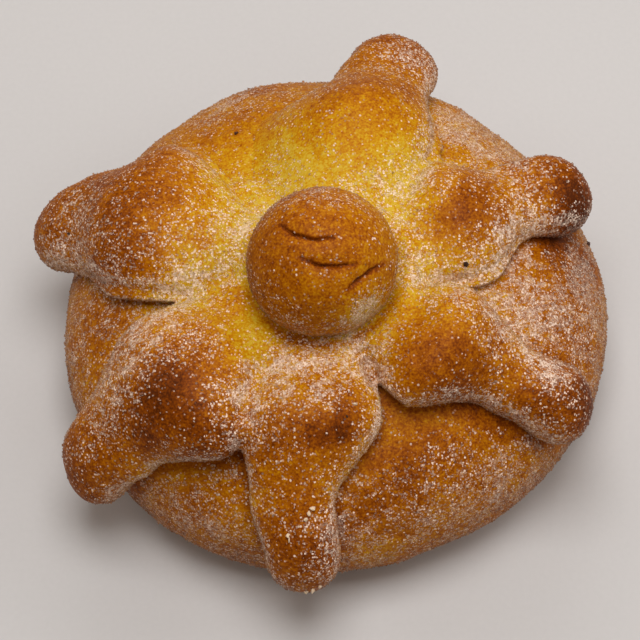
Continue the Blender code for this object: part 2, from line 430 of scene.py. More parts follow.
CREASES: tuple[Crease, ...] = (
    Crease(((4, -25), (6.5, -27.5), (8.0, -31.0), (8.8, -34.5)), 2.0, 1.3, 0.12, 0.30),
    Crease(((-11, -26), (-14, -31), (-16, -36), (-17, -41)), 1.9, 1.8, -0.04, 0.30),
    Crease(((-18, -8), (-23, -11), (-28, -12)), 1.5, 1.9, -0.04, 0.20),
    Crease(((15, -13), (19, -11.5), (24, -9.5), (29, -9)), 2.0, 1.5, 0.04, 0.35),
    Crease(((13, 6), (16, 11), (19, 17), (21, 25)), 1.6, 1.8, 0.0, 0.20),
    Crease(((-16, 9), (-20, 13), (-25, 18), (-29, 24)), 0.5, 2.0, 0.0, 0.08),
)

# Soft round patches of the unrolled skin. A row is a centre and a radius in millimetres, and what it adds.
# First, where the oven browned the dough more, and where folds kept it pale. A few patches are painted shade,
# darker in a crease between strips, and a few are painted light, paler where the strips shade the loaf.
BROWNING_AND_PAINTED_LIGHT: tuple[Row, ...] = (
    (-40, -3, 8, 0.26), (-38, 9, 8, 0.16), (-31, -1, 6, -0.12), (-30, -9, 5, -0.10), (-29, -35, 10, 0.24),
    (-33, -28, 7, 0.10), (-24, -41, 6, 0.04), (-31, -42, 5, -0.10), (-42, -27, 6, -0.14), (-32, -19, 6, -0.16),
    (-1, -39.5, 4.5, 0.40), (-9.5, -41, 5, 0.12), (4, -43, 4, -0.12), (0, -50, 6, -0.10), (-5, -37, 3, -0.20),
    (-6, -60, 9, 0.04), (-6, -67, 5, -0.15), (-1, -59, 5, 0.10), (20, -29, 8, 0.18), (25, -34, 7, 0.06),
    (47, -31, 10, 0.14), (53, -30, 5, 0.14), (40, -27, 5, -0.08), (37, -34, 4, 0.10), (15, -14, 5, -0.05),
    (25, 3.5, 7, 0.28), (27, 11, 7, 0.14), (47, 8, 8, 0.24), (40, 9, 5, -0.12), (8, 30, 8, 0.14),
    (13, 45, 7, -0.06), (1, 33, 6, 0.02), (-4, 15, 8, -0.12), (14, 18, 8, -0.18), (-19, -9, 7, -0.10),
    (-18, -23, 7, -0.14), (16, 7, 6, -0.12), (-17, 12, 10, -0.06), (-24, 40, 12, 0.10), (11, -68, 7, -0.14),
    (30, -44, 12, 0.04), (18, -43, 8, 0.12), (9, -30, 4, 0.08), (15, -55, 8, 0.14), (19, -37, 4, -0.08),
    (-52, -14, 8, 0.14), (-9, -23, 4, 0.16), (46, 4, 8, -0.10), (33, 40, 6, 0.04), (39, 31, 6, 0.06),
    (27, 27, 5, 0.10), (-24, 49, 6, -0.10), (61, 4, 7, 0.20), (-26, -47, 6, -0.10), (-34, -46, 5, -0.20),
    (-19, 54, 5, 0.15), (47, 12, 7, 0.18), (-40, -11, 5, -0.12), (-16, -15, 4, 0.10), (56, -16, 7, 0.12),
    (40, -10, 9, 0.12), (-17, -35, 5, -0.12), (3, -41, 3, 0.12), (21, -39, 4, -0.10), (-20, -45, 4, 0.15),
    (-31, -50, 8, 0.15), (12, -53, 7, 0.08), (34, -51, 7, 0.08), (10, -64, 6, 0.12), (5, 10, 4, -0.08),
    (-44, 1, 5, -0.08), (-27, -3, 3, 0.10), (-29, -36, 6, 0.06), (-4, -28, 6, 0.12), (-20, -13, 5, 0.14),
    (22, -46, 6, 0.08), (51, -3, 12, 0.10), (48, 6, 6, 0.06), (52, -32, 6, 0.06), (-6, -64, 7, 0.08),
    (-50, -42, 7, 0.07), (-38, -37, 3, -0.10), (-16, -55, 4, -0.10), (24, -21, 5, -0.06), (-20, -16, 5, 0.06),
    (33, 37, 9, -0.08),
)
# Second, where the sugar lies thick, and where it has fallen off.
SUGARING: tuple[Row, ...] = (
    (-49, -4, 9, 0.36), (-22, 0, 6, 0.26), (-15, 2, 5, 0.20), (-34, -19, 8, 0.50), (-43, -29, 8, 0.42),
    (-47, -36, 6, 0.08), (-27, -21, 7, 0.14), (-16, -38, 7, 0.18), (-6, -33, 5, 0.60), (-1, -28, 7, 0.06),
    (8, -39, 4, 0.40), (2, -49, 5, 0.26), (0, -58, 5, 0.50), (-1, -66, 5, 0.40), (-10, -66, 4, 0.30),
    (6, -27, 6, 0.50), (21, -36, 5, 0.10), (31, -18, 6, 0.20), (38, -35, 5, -0.24), (50, -8, 16, 0.44),
    (38, -14, 10, 0.44), (38, -23, 4, 0.30), (40, -27, 5, 0.30), (27, -14, 5, 0.22), (29, -3, 6, 0.30),
    (34, 37, 11, 0.55), (26, 27, 5, -0.12), (18, -52, 8, 0.16), (38, -50, 12, 0.26), (-28, -56, 12, 0.16),
    (17, 11, 6, 0.36), (7, 10, 5, 0.34), (38, 5, 5, 0.38), (48, 7, 6, -0.28), (5, 25, 15, -0.10),
    (-17, 30, 9, -0.10), (-29, -36, 7, -0.14), (-1, -41, 5, -0.20), (19, -27, 8, -0.18), (26, 2, 8, -0.20),
    (14, -42, 8, -0.20), (-18, -20, 6, -0.10), (-14, 16, 5, 0.08), (-9, 12, 5, 0.12), (-25, 49, 7, 0.40),
    (62, 2, 9, 0.35), (-55, 8, 6, 0.20), (-30, -9, 4, 0.50), (15, 46, 6, 0.35), (20, 35, 5, -0.12),
    (60, 11, 5, 0.20), (-46, -7, 5, -0.15), (-27, -9, 4, 0.20), (-62, -19, 6, 0.22), (43, -25, 4, 0.10),
    (11, -35, 5, -0.10), (-52, 8, 6, 0.16), (14, 1, 4, 0.14), (42, -59, 6, -0.18), (-36, -66, 6, -0.15),
    (-31, -22, 4, -0.14), (-52, -43, 5, -0.08), (25, -33, 5, -0.08), (54, -14, 6, -0.14), (-22, 4, 4, 0.12),
    (38, -11, 7, -0.12), (-9, -27, 4, 0.25), (0, -26, 4, 0.20), (7, -24, 3, 0.20), (14, -10, 4, 0.25),
    (13, 4, 4, 0.20), (-19, -5, 4, 0.25), (-17, 1, 4, 0.15), (-13, 7, 4, 0.15), (18, -6, 5, 0.36),
    (33, 38, 8, 0.45), (-55, 6, 6, 0.12), (-5, -64, 6, -0.22), (35, -50, 6, -0.10), (26, 4, 5, -0.08),
    (49, -25, 6, -0.20), (-33, -47, 6, 0.06), (36, 13, 5, 0.35), (36, 0, 5, 0.25), (40, -51, 8, 0.12),
    (30, -24, 4, 0.10), (42, 10, 6, -0.12), (-38, -33, 5, -0.10), (33, 37, 7, 0.20), (-2, -38, 5, -0.10),
)


@dataclass(frozen=True)
class Baking:
    """How far the dough browned over the unrolled skin, and how thickly the sugar lies there."""

    palest: float = 0.18
    outer: float = 0.26
    outer_run: Run = (18 * MM, 38 * MM)
    raised: float = 0.16
    raised_run: Run = (4 * MM, 7 * MM)
    under: float = 0.12
    under_run: Run = (64 * MM, 14 * MM)
    sugar_everywhere: float = 0.10
    sugar_least: float = 0.02
    wavers: tuple[tuple[float, float, int], ...] = ((2.4, 7.0, 201), (1.4, 3.0, 211))

    def patched(self, places: Array, patches: Sequence[Row]) -> Array:
        """The sum of soft patches with wavering edges.

        Args:
            places: Places of the unrolled skin.
            patches: Rows of a centre, a radius and what the patch adds.

        Returns:
            What they add at each place.
        """
        flat = np.column_stack((places / MM, np.zeros(len(places))))
        wavered = places / MM
        for rise, size, seed in self.wavers:
            wavered = wavered + rise * np.column_stack([smooth_noise(flat, size, seed + k) for k in (0, 1)])
        return sum(adds * bell(np.hypot(*(wavered - (x, y)).T), radius) for x, y, radius, adds in patches)

    def browning_and_painted_light(self, places: Array, lift: Array) -> Array:
        """How brown the dough is, with a few patches of painted shade and painted light among the browning.

        Args:
            places: Places of the unrolled skin.
            lift: Heights above the skin.

        Returns:
            Nought for the palest dough to one for the darkest.
        """
        distance = np.hypot(*places.T)
        outer = self.outer * ramp(distance, *self.outer_run) + self.under * ramp(distance, *self.under_run)
        raised = self.raised * ramp(lift, *self.raised_run)
        return np.clip(self.palest + outer + raised + self.patched(places, BROWNING_AND_PAINTED_LIGHT), 0.0, 1.0)

    def sugar(self, places: Array) -> Array:
        """How thickly the sugar lies, from nought to one, at places of the unrolled skin."""
        return np.clip(self.sugar_everywhere + self.patched(places, SUGARING), self.sugar_least, 1.0)


BAKING = Baking()


@dataclass(frozen=True)
class DoughForm:
    """The height of all the strips over the loaf, with the sizes of a strip's section."""

    skin: LoafSkin
    seat: Seat = Seat()
    belly_share: float = 0.36
    skirt_share: float = 0.5
    nose_share: float = 0.95
    foot_tuck: float = 0.36
    slope_fullness: float = 0.72
    fillet: float = 2.5 * MM
    sunk: float = 0.5 * MM
    soft_sunk: float = 1.0 * MM
    overlap: float = 1.2 * MM
    seam_blend: float = 0.12
    valley_softness: float = 6.0
    crown_ripple: tuple[float, float, float] = (0.035, 260.0, 170.0)

    def strip_height(self, strip: Strip, along: Array, across: Array) -> Array:
        """The height of one strip's upper face.

        Args:
            strip: The strip.
            along: Distances of places along it.
            across: Their distances across it.

        Returns:
            The height at each place.
        """
        rise = strip.eased(along, "rise", self.seat)
        belly = self.belly_share * rise
        share = (across - strip.eased(along, "sway", self.seat)) / strip.eased(along, "half", self.seat)
        inside = belly + (rise - belly) * np.sqrt(np.clip(1.0 - share**2, 0.0, 1.0))
        outside = belly * np.clip(1.0 - (np.abs(share) - 1.0) / self.skirt_share, 0.0, 1.0)
        tucked = np.where(np.abs(share) < 1.0, inside, outside)
        run_out = np.clip(np.abs(share) / (1.0 + self.skirt_share), 0.0, 1.0)
        sloped = rise * (0.5 + 0.5 * np.cos(np.pi * run_out)) ** self.slope_fullness
        soft = strip.softness(along, share)
        depth, by_along, by_across = self.crown_ripple
        ripple = 1.0 + depth * np.sin(by_along * along + by_across * across + strip.bearing)
        return np.where(along > 0.0, (tucked + (sloped - tucked) * soft) * ripple, 0.0)

    def height(self, places: Array) -> Array:
        """The height of all the strips together over the loaf's skin.

        Args:
            places: Places of the unrolled skin.

        Returns:
            The height at each place.
        """
        seat = self.seat
        offset = places - np.array(seat.centre)
        heights = (self.strip_height(strip, offset @ strip.ahead, offset @ strip.aside) for strip in STRIPS)
        total = sum((height / seat.rise) ** self.valley_softness for height in heights)
        merged = seat.rise * total ** (1 / self.valley_softness)
        distance = seat.distance(places)
        bearing = np.arctan2(offset[:, 1], offset[:, 0])
        hug = seat.rim_least + (1.0 - seat.rim_least) * np.cos(bearing / 2 - seat.rim_turn) ** 2
        rim = seat.rim_rise * hug * bell(distance - seat.rim_radius, seat.rim_width)
        groove = seat.groove_depth * bell(distance - seat.groove_radius, seat.groove_width)
        return seat.rise + (merged - seat.rise) * ramp(distance, seat.radius, seat.slope) + rim - groove

    def seam_limit(self, strip: Strip, neighbour: Strip, along: float) -> float:
        """How far across a strip reaches, just past the line midway to its neighbour."""
        turn = abs(neighbour.bearing - strip.bearing) % 360.0
        return along * math.tan(math.radians(min(turn, 360.0 - turn)) / 2) + self.overlap

    def foot(self, end: float, height: float, cut: float, soft: float, count: int) -> Array:
        """The flank of a strip below its crown.

        Args:
            end: How far across the crown ends.
            height: How high it ends.
            cut: One where the strip ends against its neighbour, nought where it ends on the loaf.
            soft: One where the flank runs out on the loaf in a soft hollow, nought where it tucks under.
            count: How many points.

        Returns:
            Rows of across and height, going down.
        """
        turns = np.linspace(0.0, np.pi / 2, count + 1)[1:]
        side = math.copysign(1.0, end)
        reach = (side * self.fillet * soft - end * self.foot_tuck * (1.0 - soft)) * (1.0 - cut)
        drop = (height + self.sunk + self.soft_sunk * soft) * np.sin(turns)
        return np.column_stack((end + reach * (1.0 - np.cos(turns)), height - drop))

    def ring(self, index: int, along: float, counts: tuple[int, int, int]) -> Array:
        """One ring round a strip.

        Args:
            index: The strip's place in the list.
            along: The distance from the crossing.
            counts: How many points go over the top, down each flank and back underneath.

        Returns:
            The ring's points in space, from the loaf's axis.
        """
        strip, seat, (crown, foot, sole) = STRIPS[index], self.seat, counts
        half, sway, rise = (float(strip.eased(along, measure, seat)) for measure in ("half", "sway", "rise"))
        ends, cuts, softs = [], [], []
        for neighbour, side in ((STRIPS[index - 1], 1.0), (STRIPS[(index + 1) % len(STRIPS)], -1.0)):
            softs.append(float(strip.softness(along, side)))
            own = half * (1.0 + self.skirt_share * softs[-1]) + side * sway
            limit = self.seam_limit(strip, neighbour, along)
            ends.append(side * min(own, limit))
            cuts.append(float(np.clip((own - limit) / (self.seam_blend * own), 0.0, 1.0)))
        turns = np.linspace(0.0, np.pi, crown)
        across = (ends[0] + ends[1]) / 2 + (ends[0] - ends[1]) / 2 * np.cos(turns)
        start = np.array(seat.centre) + along * strip.ahead
        over = np.column_stack((across, self.height(start + np.outer(across, strip.aside))))
        down_left = self.foot(ends[0], over[0, 1], cuts[0], softs[0], foot)
        down_right = self.foot(ends[1], over[-1, 1], cuts[1], softs[1], foot)
        under = np.linspace(down_right[-1], down_left[-1], sole + 2)[1:-1]
        ring = np.vstack((over, down_right, under, down_left[::-1]))
        past = np.clip((along - strip.tip.at) / (self.nose_share * strip.tip.half), 0.0, 1.0)
        middle = np.array((sway, self.belly_share * rise))
        ring = middle + (ring - middle) * math.sqrt(1.0 - past**2)
        return self.skin.raised(start + np.outer(ring[:, 0], strip.aside), ring[:, 1])


def new_mesh(name: str, points: Array, faces: Array) -> bpy.types.Mesh:
    """Makes a mesh from arrays.

    Args:
        name: The mesh's name.
        points: Vertices as rows.
        faces: Faces as rows of vertex numbers, all with the same count.

    Returns:
        The mesh.
    """
    mesh = bpy.data.meshes.new(name)
    mesh.vertices.add(len(points))
    mesh.vertices.foreach_set("co", points.astype(np.float32).ravel())
    mesh.loops.add(faces.size)
    mesh.loops.foreach_set("vertex_index", faces.astype(np.int32).ravel())
    mesh.polygons.add(len(faces))
    mesh.polygons.foreach_set("loop_start", np.arange(0, faces.size, faces.shape[1], dtype=np.int32))
    mesh.update(calc_edges=True)
    mesh.validate()
    return mesh


def new_body(data: bpy.types.ID, place: Sequence[float] = (0.0, 0.0, 0.0)) -> Body:
    """Puts a mesh, a light or a camera into the scene under its own name.

    Args:
        data: The mesh, light or camera.
        place: Where its origin goes.

    Returns:
        The new object.
    """
    body = bpy.data.objects.new(data.name, data)
    body.location = place
    bpy.context.scene.collection.objects.link(body)
    return body


def closed_tube(rings: int, count: int, downward: bool = False) -> Array:
    """The faces of a tube of rings, closed to a point at each end.

    Args:
        rings: How many rings.
        count: How many points each ring has. The first end's point and the last one's follow the rings.
        downward: True where the rings go from the outside's top to its foot.

    Returns:
        The faces as triangles that look outward.
    """
    here = np.arange((rings - 1) * count).reshape(-1, count)
    ahead = np.roll(here, -1, axis=1)
    first, last = np.arange(count), np.arange(count) + (rings - 1) * count
    side, other = (here + count, ahead) if downward else (ahead, here + count)
    caps = ((np.full(count, rings * count), first, np.roll(first, -1)),
            (np.full(count, rings * count + 1), np.roll(last, -1), last))
    order = (0, 1, 2) if downward else (0, 2, 1)
    return np.vstack((
        np.stack((here, side, ahead + count), -1).reshape(-1, 3),
        np.stack((here, ahead + count, other), -1).reshape(-1, 3),
        *(np.column_stack([cap[k] for k in order]) for cap in caps),
    ))


def round_lump(fineness: int) -> tuple[Array, Array]:
    """A ball one across.

    Args:
        fineness: How many times its twenty first faces are split.

    Returns:
        Its points and its faces.
    """
    ball = bmesh.new()
    bmesh.ops.create_icosphere(ball, subdivisions=fineness, radius=0.5)
    points = np.array([tuple(vertex.co) for vertex in ball.verts])
    faces = np.array([[vertex.index for vertex in face.verts] for face in ball.faces])
    ball.free()
    return points, faces


def read_rows(items: Any, name: str, width: int, kind: type = np.float32) -> Array:
    """Reads one property of all a mesh's items as rows."""
    flat = np.empty(len(items) * width, kind)
    items.foreach_get(name, flat)
    return flat.reshape(-1, width) if kind is np.int32 else flat.reshape(-1, width).astype(float)


def mesh_points(mesh: bpy.types.Mesh) -> Array:
    """A mesh's vertices as rows."""
    return read_rows(mesh.vertices, "co", 3)


def mesh_normals(mesh: bpy.types.Mesh) -> Array:
    """A mesh's vertex normals as rows."""
    return read_rows(mesh.vertex_normals, "vector", 3)


def set_points(mesh: bpy.types.Mesh, points: Array) -> None:
    """Moves a mesh's vertices."""
    mesh.vertices.foreach_set("co", points.astype(np.float32).ravel())
    mesh.update()


def measure_of(mesh: bpy.types.Mesh, name: str) -> Array:
    """The number that each vertex has under a name."""
    return read_rows(mesh.attributes[name].data, "value", 1)[:, 0]


def add_measure(mesh: bpy.types.Mesh, name: str, values: Array) -> None:
    """Stores one number for each vertex under a name that a material can read."""
    layer = mesh.attributes.get(name) or mesh.attributes.new(name=name, type="FLOAT", domain="POINT")
    layer.data.foreach_set("value", values.astype(np.float32))


SMOOTH_STEP, SWELL_STEP = 0.55, -0.57


def smoothed(points: Array, edges: Array, rounds: int) -> Array:
    """Evens out a mesh without shrinking it.

    Args:
        points: Vertices as rows.
        edges: Edges as pairs of vertex numbers.
        rounds: How many times to smooth and swell back.

    Returns:
        The new vertices.
    """
    ends = np.concatenate((edges[:, 0], edges[:, 1]))
    others = np.concatenate((edges[:, 1], edges[:, 0]))
    count = np.maximum(np.bincount(ends, minlength=len(points)), 1)
    for step in (SMOOTH_STEP, SWELL_STEP) * rounds:
        mean = np.column_stack([np.bincount(ends, points[others, k], len(points)) for k in range(3)])
        points = points + step * (mean / count[:, None] - points)
    return points


# The crust's dents, puckers and pores, then the clumps that sugar gathers in: sizes, and how much each.
CRUST_RELIEF: tuple[Run, ...] = ((7.0 * MM, 0.26 * MM), (2.4 * MM, 0.11 * MM), (0.9 * MM, 0.05 * MM))
CLUMPS: tuple[Run, ...] = ((1.4 * MM, 1.0), (3.4 * MM, 0.5))
CLUMP_SEED = 61
THINNEST, THICKEST = 0.05, 2.2


def swells(points: Array, sizes: Sequence[Run], seed: int) -> Array:
    """The sum of smooth random swells of several sizes, each with its own height."""
    return sum(rise * smooth_noise(points, size, seed + k) for k, (size, rise) in enumerate(sizes))


def clumped(points: Array, sugar: Array, contrast: float) -> Array:
    """Gathers sugar into clumps, with thin places between them, where damp dough held it or let it fall.

    Args:
        points: Places on a crust.
        sugar: How thickly the sugar lies there on the whole.
        contrast: How much thicker it lies in the clumps.

    Returns:
        How thickly it lies with its clumps.
    """
    clumps = 1.0 + contrast * swells(points, CLUMPS, CLUMP_SEED)
    return np.clip(sugar * np.clip(clumps, THINNEST, THICKEST), 0.0, 1.0)


@dataclass(frozen=True)
class BakedColours:
    """The colours that glazed sweet dough takes in the oven, from pale in its folds to dark on its bulges.

    Blotches, a finer mottle, the dough's fibre and its pores shift the browning. A row of them is a real size,
    the noise's detail, and how far it shifts. The pores are drawn 0.5 mm apart, as real ones hardly show.
    """

    stops: tuple[tuple[float, str], ...] = (
        (0.04, "#CFAE34"), (0.18, "#C8960E"), (0.34, "#BD7B03"),
        (0.52, "#A55C00"), (0.72, "#803C00"), (0.95, "#522200"),
    )
    shifts: tuple[tuple[float, float, float], ...] = (
        (9.0 * MM, 3.0, 0.28), (2.2 * MM, 3.0, 0.36), (1.2 * MM, 3.0, 0.42), (0.5 * MM, 2.0, 0.80),
    )
    noise_detail: float = 3.0
    noise_roughness: float = 0.55

    @property
    def fractal(self) -> dict[str, float]:
        """How a noise's finer swells follow its coarse ones."""
        return {"Detail": self.noise_detail, "Roughness": self.noise_roughness}

    def colour(self, tree: Tree, place: Socket) -> Socket:
        """The dough's colour, from how far it browned.

        Args:
            tree: The material's nodes.
            place: The place on the object.

        Returns:
            The colour's output.
        """
        # The bake measure is the dough's browning, with painted shade and painted light added in places.
        bake = add_node(tree, "Attribute", attribute_name="bake").outputs["Fac"]
        middle = -0.5 * sum(share for _, _, share in self.shifts)
        total = add_node(tree, "Math", {0: bake, 1: middle}, operation="ADD").outputs[0]
        for size, detail, share in self.shifts:
            values = {"Vector": place, "Scale": 1.0 / size, **self.fractal, "Detail": detail}
            noise = add_node(tree, "TexNoise", values).outputs["Fac"]
            values = {0: noise, 1: share, 2: total}
            total = add_node(tree, "Math", values, operation="MULTIPLY_ADD").outputs[0]
        colours = add_node(tree, "ValToRGB", {"Fac": total})
        elements = colours.color_ramp.elements
        while len(elements) < len(self.stops):
            elements.new(0.5)
        for element, (position, hex_colour) in zip(elements, self.stops):
            element.position = position
            element.color = linear(hex_colour)
        return colours.outputs["Color"]


@dataclass(frozen=True, kw_only=True)
class Finish:
    """How one real surface looks: its own colour and normal, over one shader."""

    name: str
    roughness: float = 0.5
    specular: float = 0.5

    def surface(self, tree: Tree, place: Socket) -> tuple[Socket, Socket]:
        """The surface's colour and its normal, from the place on the object."""
        raise NotImplementedError

    def material(self) -> bpy.types.Material:
        """Makes the finish.

        Returns:
            It as a material.
        """
        material = bpy.data.materials.new(self.name)
        material.use_nodes = True
        tree = material.node_tree
        shader = tree.nodes["Principled BSDF"]
        colour, normal = self.surface(tree, add_node(tree, "TexCoord").outputs["Object"])
        tree.links.new(colour, shader.inputs["Base Color"])
        tree.links.new(normal, shader.inputs["Normal"])
        shader.inputs["Roughness"].default_value = self.roughness
        shader.inputs["Specular IOR Level"].default_value = self.specular
        return material


@dataclass(frozen=True, kw_only=True)
class CrustFinish(Finish):
    """Glazed and oven-baked sweet dough that was rolled in fine sugar.

    The baked colours show deep and clear where the crust is bare. Fine sugar makes a frosty film of small
    facets, each tilted its own way and a little lighter or darker than the next, so that the film glitters. Its
    grains are drawn 0.4 mm across, as sugar dust is too fine to show.
    """

    specular: float = 0.08
    baked: BakedColours = BakedColours()
    frost: str = "#FDE8D6"
    grain: float = 0.40 * MM
    grain_core: float = 0.40
    grain_edge: float = 0.82
    clump: float = 1.0 * MM
    clump_share: float = 0.9
    clump_noise: Run = (0.3, 0.7)
    cover_edge: float = 0.04
    facet_tilt: float = 1.1
    film_least: float = 0.16
    film_most: float = 1.0
    thick_from: float = 0.5
    thick_share: float = 0.5
    pore: float = 0.5 * MM
    pore_depth: float = 0.12 * MM
    pore_strength: float = 0.4

    def surface(self, tree: Tree, place: Socket) -> tuple[Socket, Socket]:
        """The crust's colour under its film of sugar, and the normal of its pores and facets.

        Args:
            tree: The material's nodes.
            place: The place on the object.

        Returns:
            The colour and the normal.
        """
        values = {"Vector": place, "Scale": 1.0 / self.grain, "Randomness": 1.0}
        cells = add_node(tree, "TexVoronoi", values).outputs
        chance = add_node(tree, "SeparateColor", {"Color": cells["Color"]}).outputs
        sugar = add_node(tree, "Attribute", attribute_name="sugar").outputs["Fac"]
        covered = self.covered(tree, place, sugar, chance["Red"])
        values = {"Value": chance["Green"], "To Min": self.film_least, "To Max": self.film_most}
        film = add_node(tree, "MapRange", values).outputs[0]
        values = {"Value": cells["Distance"], "From Min": self.grain_edge, "From Max": self.grain_core}
        rounded = add_node(tree, "MapRange", values, interpolation_type="SMOOTHSTEP").outputs[0]
        lit = add_node(tree, "Math", {0: film, 1: rounded}, operation="MULTIPLY").outputs[0]
        values = {"Value": sugar, "From Min": self.thick_from, "To Max": self.thick_share}
        thick = add_node(tree, "MapRange", values).outputs[0]
        lit = add_node(tree, "Mix", {0: thick, 2: lit, 3: 1.0}, data_type="FLOAT").outputs[0]
        share = add_node(tree, "Math", {0: covered, 1: lit}, operation="MULTIPLY").outputs[0]
        values = {0: share, 6: self.baked.colour(tree, place), 7: linear(self.frost)}
        colour = add_node(tree, "Mix", values, data_type="RGBA").outputs[2]
        return colour, self.faceted(tree, place, cells["Color"], covered)

    def covered(self, tree: Tree, place: Socket, sugar: Socket, chance: Socket) -> Socket:
        """Where the film lies, with more of its grains where the sugar is thick.

        Args:
            tree: The material's nodes.
            place: The place on the object.
            sugar: How thickly the sugar lies.
            chance: Each grain's own number.

        Returns:
            One on a grain and nought on bare crust.
        """
        values = {"Vector": place, "Scale": 1.0 / self.clump, **self.baked.fractal}
        noise = add_node(tree, "TexNoise", values).outputs["Fac"]
        low, high = self.clump_noise
        values = {"Value": noise, "From Min": low, "From Max": high,
                  "To Min": 1.0 - self.clump_share, "To Max": 1.0 + self.clump_share}
        clumps = add_node(tree, "MapRange", values, clamp=False).outputs[0]
        amount = add_node(tree, "Math", {0: sugar, 1: clumps}, operation="MULTIPLY").outputs[0]
        over = add_node(tree, "Math", {0: amount, 1: chance}, operation="SUBTRACT").outputs[0]
        values = {"Value": over, "From Min": -self.cover_edge, "From Max": self.cover_edge}
        return add_node(tree, "MapRange", values, interpolation_type="SMOOTHSTEP").outputs[0]

    def faceted(self, tree: Tree, place: Socket, chance: Socket, covered: Socket) -> Socket:
        """The crust's pores, with the film's facets each tilted its own way.

        Args:
            tree: The material's nodes.
            place: The place on the object.
            chance: Each grain's own colour, which sets its tilt.
            covered: One on a grain and nought on bare crust.

        Returns:
            The normal.
        """
        values = {"Vector": place, "Scale": 1.0 / self.pore, **self.baked.fractal}
        noise = add_node(tree, "TexNoise", values).outputs["Fac"]
        values = {"Height": noise, "Strength": self.pore_strength, "Distance": self.pore_depth}
        pores = add_node(tree, "Bump", values).outputs[0]
        values = {0: chance, 1: (0.5, 0.5, 0.5)}
        centred = add_node(tree, "VectorMath", values, operation="SUBTRACT").outputs[0]
        values = {0: centred, "Scale": covered}
        scaled = add_node(tree, "VectorMath", values, operation="SCALE").outputs[0]
        values = {0: scaled, 1: (self.facet_tilt,) * 3, 2: pores}
        tilted = add_node(tree, "VectorMath", values, operation="MULTIPLY_ADD").outputs[0]
        return add_node(tree, "VectorMath", {0: tilted}, operation="NORMALIZE").outputs[0]


@dataclass(frozen=True, kw_only=True)
class SugarFinish(Finish):
    """Granulated cane sugar: small clear crystals with smooth faces, which show the crust's colour through.

    Most show pale frost; the few near white are painted glints, which stand for the sparkle of light off their
    faces.
    """

    roughness: float = 0.25
    baked: BakedColours = BakedColours()
    white: str = "#FFEDD8"
    clearness: float = 0.6

    def surface(self, tree: Tree, place: Socket) -> tuple[Socket, Socket]:
        """The crystals' colour, and a normal between their own and the crust's below.

        Args:
            tree: The material's nodes.
            place: The place on the object.

        Returns:
            The colour and the normal.
        """
        frost_and_glint = add_node(tree, "Attribute", attribute_name="frost_and_glint").outputs["Fac"]
        values = {0: frost_and_glint, 6: self.baked.colour(tree, place), 7: linear(self.white)}
        colour = add_node(tree, "Mix", values, data_type="RGBA").outputs[2]
        own = add_node(tree, "NewGeometry").outputs["Normal"]
        below = add_node(tree, "Attribute", attribute_name="below").outputs["Vector"]
        values = {0: self.clearness, 4: own, 5: below}
        mixed = add_node(tree, "Mix", values, data_type="VECTOR").outputs[1]
        return colour, add_node(tree, "VectorMath", {0: mixed}, operation="NORMALIZE").outputs[0]


@dataclass(frozen=True, kw_only=True)
class MottledFinish(Finish):
    """A matt, grainy surface: clumps of damp sugar that dried hard, sugar that burnt in the oven, or board.

    A fine mottle of two near colours shows the grains or fibres that the surface is made of.
    """

    roughness: float = 0.6
    light: str
    dark: str
    grain: float = 0.3 * MM
    strength: float = 0.8
    depth: float = 0.1 * MM

    def surface(self, tree: Tree, place: Socket) -> tuple[Socket, Socket]:
        """The mottled colour, and the bumps of its grains.

        Args:
            tree: The material's nodes.
            place: The place on the object.

        Returns:
            The colour and the normal.
        """
        values = {"Vector": place, "Scale": 1.0 / self.grain, "Detail": 3.0}
        mottle = add_node(tree, "TexNoise", values).outputs["Fac"]
        values = {0: mottle, 6: linear(self.dark), 7: linear(self.light)}
        colour = add_node(tree, "Mix", values, data_type="RGBA").outputs[2]
        values = {"Height": mottle, "Strength": self.strength, "Distance": self.depth}
        return colour, add_node(tree, "Bump", values).outputs[0]


class Habit(Enum):
    """The shape of a sugar crystal."""

    BLOCK = "block"
    SPLINTER = "splinter"


# A crystal's corners and triangles at a size of one.
CRYSTALS: Mapping[Habit, tuple[Array, Array]] = {
    Habit.BLOCK: (
        np.array(list(itertools.product((-0.5, 0.5), repeat=3))),
        np.array([(0, 1, 3), (0, 3, 2), (4, 6, 7), (4, 7, 5), (0, 4, 5), (0, 5, 1),
                  (2, 3, 7), (2, 7, 6), (0, 2, 6), (0, 6, 4), (1, 5, 7), (1, 7, 3)]),
    ),
    Habit.SPLINTER: (
        0.5 * np.array([(1, 1, 1), (1, -1, -1), (-1, 1, -1), (-1, -1, 1)]),
        np.array([(0, 1, 2), (0, 3, 1), (0, 2, 3), (1, 3, 2)]),
    ),
}


